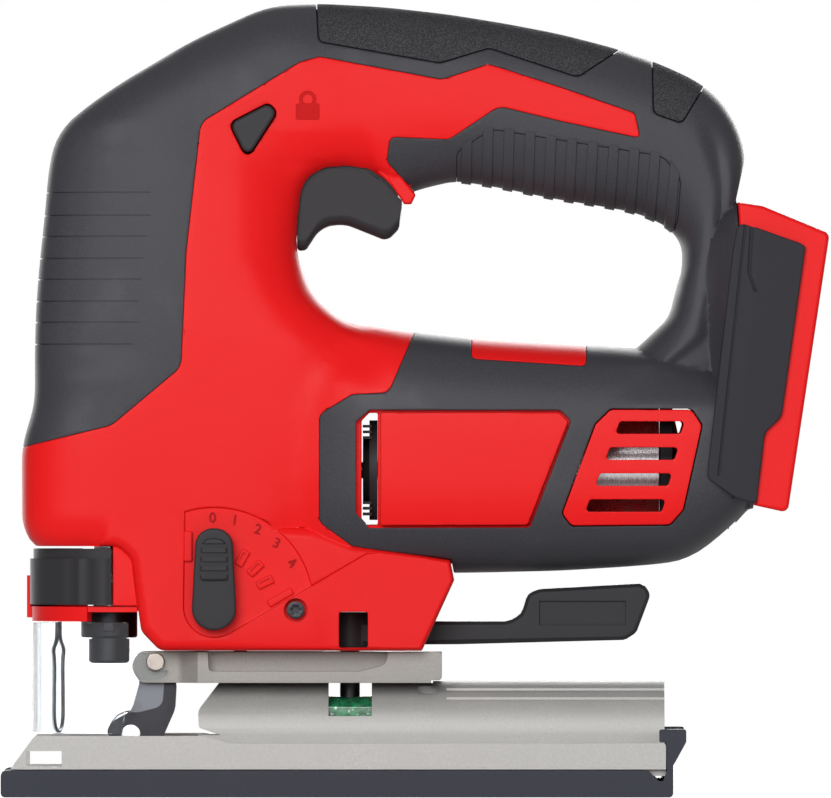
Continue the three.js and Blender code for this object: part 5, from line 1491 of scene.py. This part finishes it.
@dataclass(frozen=True)
class BatteryEnd:
    """The red foot with the bay of the battery, and its dark cheeks."""

    foot_half: float = 32.6
    foot_corner: Point = (136.4, 85.3)  # x and z of the lower end of the leaning face
    foot_side: tuple[Corner, ...] = (
        (121.4, 178.4), (128.9, 177.3, 2), (148.97, 169, 2), (136.4, 85.3, 2), (126.4, 87.5),
    )
    cheek_side: tuple[Corner, ...] = (
        (121.4, 172.3, 2), (126.7, 170.9, 3), (140, 166.2, 2),
        (141.7, 165.1, 1), (134.5, 114, 4), (129.5, 109.3, 4),
        (127, 87.9, 1), (120.6, 89.8, 2), (112.2, 95.6, 2), (112.5, 100.1, 3), (119.9, 164.1, 2),
    )
    lean: float = math.degrees(math.atan2(12.6, 83.7))

    def foot(self) -> Form:
        """The foot with the bay that the battery slides up."""
        body = Form.slab(self.foot_side, (-self.foot_half, self.foot_half), 1.2)
        rails = Form.block((-11, -5), (-25.5, 25.5), (-5, 76))
        bay = Form.block((-11, 5), (-21.5, 21.5), (-5, 76)).joined(rails)
        x, z = self.foot_corner
        return body.common(behind_rear(-SEAM)).cut(bay.swung(Axis.Y, self.lean).moved(x, 0, z))

    def cheeks(self) -> Form:
        """Soft caps over both sides of the foot, chamfered towards the shell."""
        reach = self.foot_half + 2
        under = loft(FLARE, -GAP, 48, 6.0).joined(
            Form.slab(grown(self.foot_side, 6), (-self.foot_half - GAP, self.foot_half + GAP)),
            loft(BARREL, -GAP, 48, 6.0),
            loft(LOOP, -GAP, 48, 6.0),
        )
        middle = Form.block((100, 160), (-15, 15), (60, 200))
        cap = Form.slab(self.cheek_side, (-reach, reach)).cut(under, middle)
        for side in Side:
            chamfer = Form.block((-60, 60), (0, 60), (-150, 150)).swung(Axis.Z, 7.5)
            chamfer.moved(y=self.foot_half + 0.9).swung(Axis.Y, 6.6)
            if side is Side.LEFT:
                chamfer.mirrored()
            cap = cap.cut(chamfer.moved(112.5, 0, 100.1))
        return cap

    def scores(self) -> list[Form]:
        """The line along the front edge of each cheek and the short one beside it."""
        long = [(115.2, 96.6), (116.1, 96.4), (124.1, 171.4), (123.2, 171.6)]
        short = [
            (125, 171.6), (126.3, 171.2), (125.4, 157, 0.4),
            (127.4, 151.6), (126.2, 151.4), (124.2, 157.4, 0.4),
        ]
        spans = [side.span(self.foot_half + 0.5, 60) for side in Side]
        return [Form.slab(line, span) for line in (long, short) for span in spans]

    def dress(self) -> None:
        """Makes the foot and its cheeks."""
        self.foot().eased(0.35, 2, SHARP).piece("battery_foot", "tool", RED)
        cheeks = self.cheeks()
        for side in Side:
            cheek = cheeks.half(side).eased(0.5, 3, 12.0, MERGE).cut(*self.scores())
            cheek.piece(f"{side.value}_battery_cheek", "tool", CHEEK_BLACK)


@dataclass(frozen=True)
class BladeEnd:
    """What stands round the blade: the wire guard and the arm of the roller."""

    wire_radius: float = 0.65
    guard_x: float = -82.7  # the middle of the guard, between its two legs
    guard_leg: tuple[Point3, ...] = (
        (-82.9, 13.4, 52.2), (-83.1, 12.8, 47.2), (-84.1, 9, 43.6), (-83.9, 8.5, 41.4), (-83.9, 8.2, 30),
        (-83.8, 7.4, 22.4), (-83.3, 4, 20),
    )
    fork: tuple[Corner, ...] = (
        (-80, 5), (-40, 5), (-40, 44), (-50.6, 36.4), (-51.4, 27, 3), (-58.5, 25.2, 2), (-80, 25.2),
    )

    def guard(self) -> Form:
        """The bent wire in front of the blade."""
        left = [(x, -y, z) for x, y, z in self.guard_leg]
        right = [(2 * self.guard_x - x, y, z) for x, y, z in reversed(self.guard_leg)]
        return Form.wire([*left, (self.guard_x, 0, 19.6), *right], self.wire_radius)

    def dress(self) -> None:
        """Makes the guard and the two-part arm."""
        self.guard().piece("wire_guard", "tool", WIRE_STEEL)
        arm = Form.of_node("roller_arm").eased(0.5, 2, 34.0)
        black = Form.through(self.fork)
        arm.cut(black).piece("roller_arm", "arm", GREY_STEEL)
        arm.common(black).piece("roller_fork", "arm", BLACK_STEEL)


@dataclass(frozen=True)
class Plain:
    """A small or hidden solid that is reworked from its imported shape."""

    node: str
    body: str
    finish: Finish
    ease: float

    def dress(self) -> None:
        """Eases the edges of a merged copy, which then stands for the solid."""
        Form.of_node(self.node).eased(self.ease, 2, 34.0).piece(self.node, self.body, self.finish)


PLAIN = (
    Plain("switch_module", "tool", BLACK, 0.5),
    Plain("control_board", "tool", BOARD, 0.2),
    Plain("terminal_block", "tool", BLACK, 0.3),
    Plain("plus_terminal", "tool", CONTACT, 0.15),
    Plain("minus_terminal", "tool", CONTACT, 0.15),
    Plain("motor_can", "tool", STEEL, 0.4),
    Plain("end_bell", "tool", BLACK, 0.3),
    Plain("front_bearing", "tool", STEEL, 0.3),
    Plain("rear_bearing", "tool", STEEL, 0.3),
    Plain("gear_frame", "tool", CAST, 0.5),
    Plain("gear_axle", "tool", STEEL, 0.3),
    Plain("upper_bush", "tool", BRONZE, 0.2),
    Plain("lower_bush", "tool", BRONZE, 0.2),
    Plain("armature", "rotor", COPPER, 0.15),
    Plain("motor_fan", "rotor", BLACK, 0.2),
    Plain("crank_gear", "crank", GREY_STEEL, 0.1),
    Plain("plunger", "plunger_unit", ROD_STEEL, 0.3),
    Plain("blade_clamp", "plunger_unit", BLACK_STEEL, 0.2),
    Plain("clamp_collar", "plunger_unit", BLACK_STEEL, 0.2),
    Plain("release_lever", "release", BLACK, 0.4),
    Plain("nose_ring", "tool", RED, 0.3),
    Plain("chip_shield", "shield", CLEAR, 0.3),
    Plain("work_light", "tool", LENS, 0.2),
    Plain("blade_roller", "roller", STEEL, 0.2),
    Plain("roller_pin", "arm", STEEL, 0.2),
    Plain("arm_pin", "tool", PIN_STEEL, 0.3),
    Plain("shoe_bracket", "tool", BRACKET_CAST, 0.5),
    Plain("bracket_screw", "tool", BLACK_STEEL, 0.2),
    Plain("clamp_lever", "bevel_lever", BLACK, 0.5),
    Plain("clamp_bolt", "bevel_lever", BLACK_STEEL, 0.2),
    Plain("clamp_nut", "tool", GREEN, 0.3),
    Plain("shoe", "foot", CAST, 0.4),
    Plain("shoe_cover", "foot", SLATE, 0.4),
)


@dataclass(frozen=True)
class Studio:
    """Pale floor, white surround, soft lamps and the camera, in metres."""

    centre: Point3 = (0.02475, 0.0, 0.1194)
    distance: float = 8.0
    lens: float = 1151.0
    floor_radius: float = 0.7
    apron_radius: float = 3.0
    floor_white: float = 0.86
    floor_glow: float = 0.8
    dim_light: float = 0.12  # of the surround, as a light
    mirrored: float = 0.35  # of the surround, in shiny surfaces
    # Name, power in watts, size and place of each lamp.
    lamps: tuple[tuple[str, float, float, Point3], ...] = (
        ("key", 30.0, 1.1, (-0.45, -2.0, 0.7)),
        ("fill", 10.0, 1.4, (0.6, -2.0, 0.15)),
        ("top", 1.5, 1.2, (0.1, 0.1, 1.6)),
        ("back", 26.0, 1.2, (0.5, 2.0, 0.7)),
        ("back_fill", 12.0, 1.4, (-0.7, 1.9, 0.3)),
    )

    def camera(self) -> None:
        """A level camera at the left side of the tool."""
        data = bpy.data.cameras.new("camera")
        data.lens = self.lens
        data.sensor_width = 36.0
        camera = linked("camera", data)
        camera.location = Vector(self.centre) - Vector((0, self.distance, 0))
        camera.rotation_euler = (math.pi / 2, 0, 0)
        bpy.context.scene.camera = camera

    def lamp(self, name: str, power: float, size: float, place: Point3) -> None:
        """One square soft lamp, aimed at the middle of the tool."""
        data = bpy.data.lights.new(name, "AREA")
        data.energy = power
        data.size = size
        lamp = linked(name, data)
        lamp.location = place
        aim = Vector(self.centre) - Vector(place)
        lamp.rotation_euler = aim.to_track_quat("-Z", "Y").to_euler()

    def ground(self, name: str, radii: Span, graph: Graph, shader: Value) -> bpy.types.Object:
        """A disc, or a ring between two radii, at the height of the sole.

        Args:
            name: The name of the object.
            radii: The radius of the disc, or the two of the ring.
            graph: The graph of its material.
            shader: The shader that the graph ends in.

        Returns:
            The object, which is part of the stage.
        """
        bm = bmesh.new()
        for radius in radii:
            bmesh.ops.create_circle(bm, cap_ends=len(radii) == 1, segments=96, radius=radius)
        if len(radii) > 1:
            bmesh.ops.bridge_loops(bm, edges=bm.edges[:])
        made = linked(name, mesh_of(name, bm))
        bm.free()
        made.data.materials.append(graph.ended(shader))
        return made

    def floor(self) -> None:
        """A pale floor that keeps the shadow and is nearly as white as the surround."""
        graph = Graph(bpy.data.materials.new("floor"))
        seen = graph.node("ShaderNodeLightPath", {}, {}, "Is Camera Ray")
        bare = graph.node("ShaderNodeBsdfDiffuse", {}, {"Color": (*(self.floor_white,) * 3, 1.0)})
        inputs = {"Color": (1, 1, 1, 1), "Strength": seen * self.floor_glow}
        glow = graph.node("ShaderNodeEmission", {}, inputs)
        both = graph.node("ShaderNodeAddShader", {}, {0: bare, 1: glow})
        self.ground("floor", (self.floor_radius,), graph, both)

    def apron(self) -> None:
        """A white ring round the floor, so that a tilted shoe isn't seen from under it."""
        graph = Graph(bpy.data.materials.new("apron"))
        glow = graph.node("ShaderNodeEmission", {}, {"Color": (1, 1, 1, 1)})
        apron = self.ground("apron", (self.floor_radius, self.apron_radius), graph, glow)
        apron.visible_diffuse = apron.visible_glossy = False
        apron.visible_transmission = apron.visible_shadow = False

    def surround(self) -> None:
        """A world that is white to look at and softer as a light."""
        graph = Graph(bpy.data.worlds.new("surround"))
        rays = ("Is Camera Ray", "Is Transmission Ray", "Is Glossy Ray")
        straight, clear, shiny = (graph.node("ShaderNodeLightPath", {}, {}, ray) for ray in rays)
        share = straight.at_least(clear).at_least(shiny * self.mirrored)
        inputs = {"Value": share, "To Min": self.dim_light, "To Max": 1.0}
        level = graph.node("ShaderNodeMapRange", {}, inputs)
        light = graph.node("ShaderNodeBackground", {}, {"Color": (1, 1, 1, 1), "Strength": level})
        bpy.context.scene.world = graph.ended(light, "ShaderNodeOutputWorld")

    def set_up(self) -> None:
        """Makes the camera, the stage and the lamps."""
        self.camera()
        self.surround()
        self.floor()
        self.apron()
        for lamp in self.lamps:
            self.lamp(*lamp)
        bpy.context.scene.view_settings.view_transform = "Standard"


def main() -> None:
    """Builds the whole tool in order and sets up the studio."""
    logging.basicConfig(level=logging.INFO, format="%(name)s %(message)s")
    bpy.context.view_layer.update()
    Studio().set_up()
    dial = Dial()
    Shell(ShellForms(), dial).dress()
    Controls(dial).dress()
    BatteryEnd().dress()
    BladeEnd().dress()
    for plain in PLAIN:
        plain.dress()


if __name__ == "__main__":
    main()
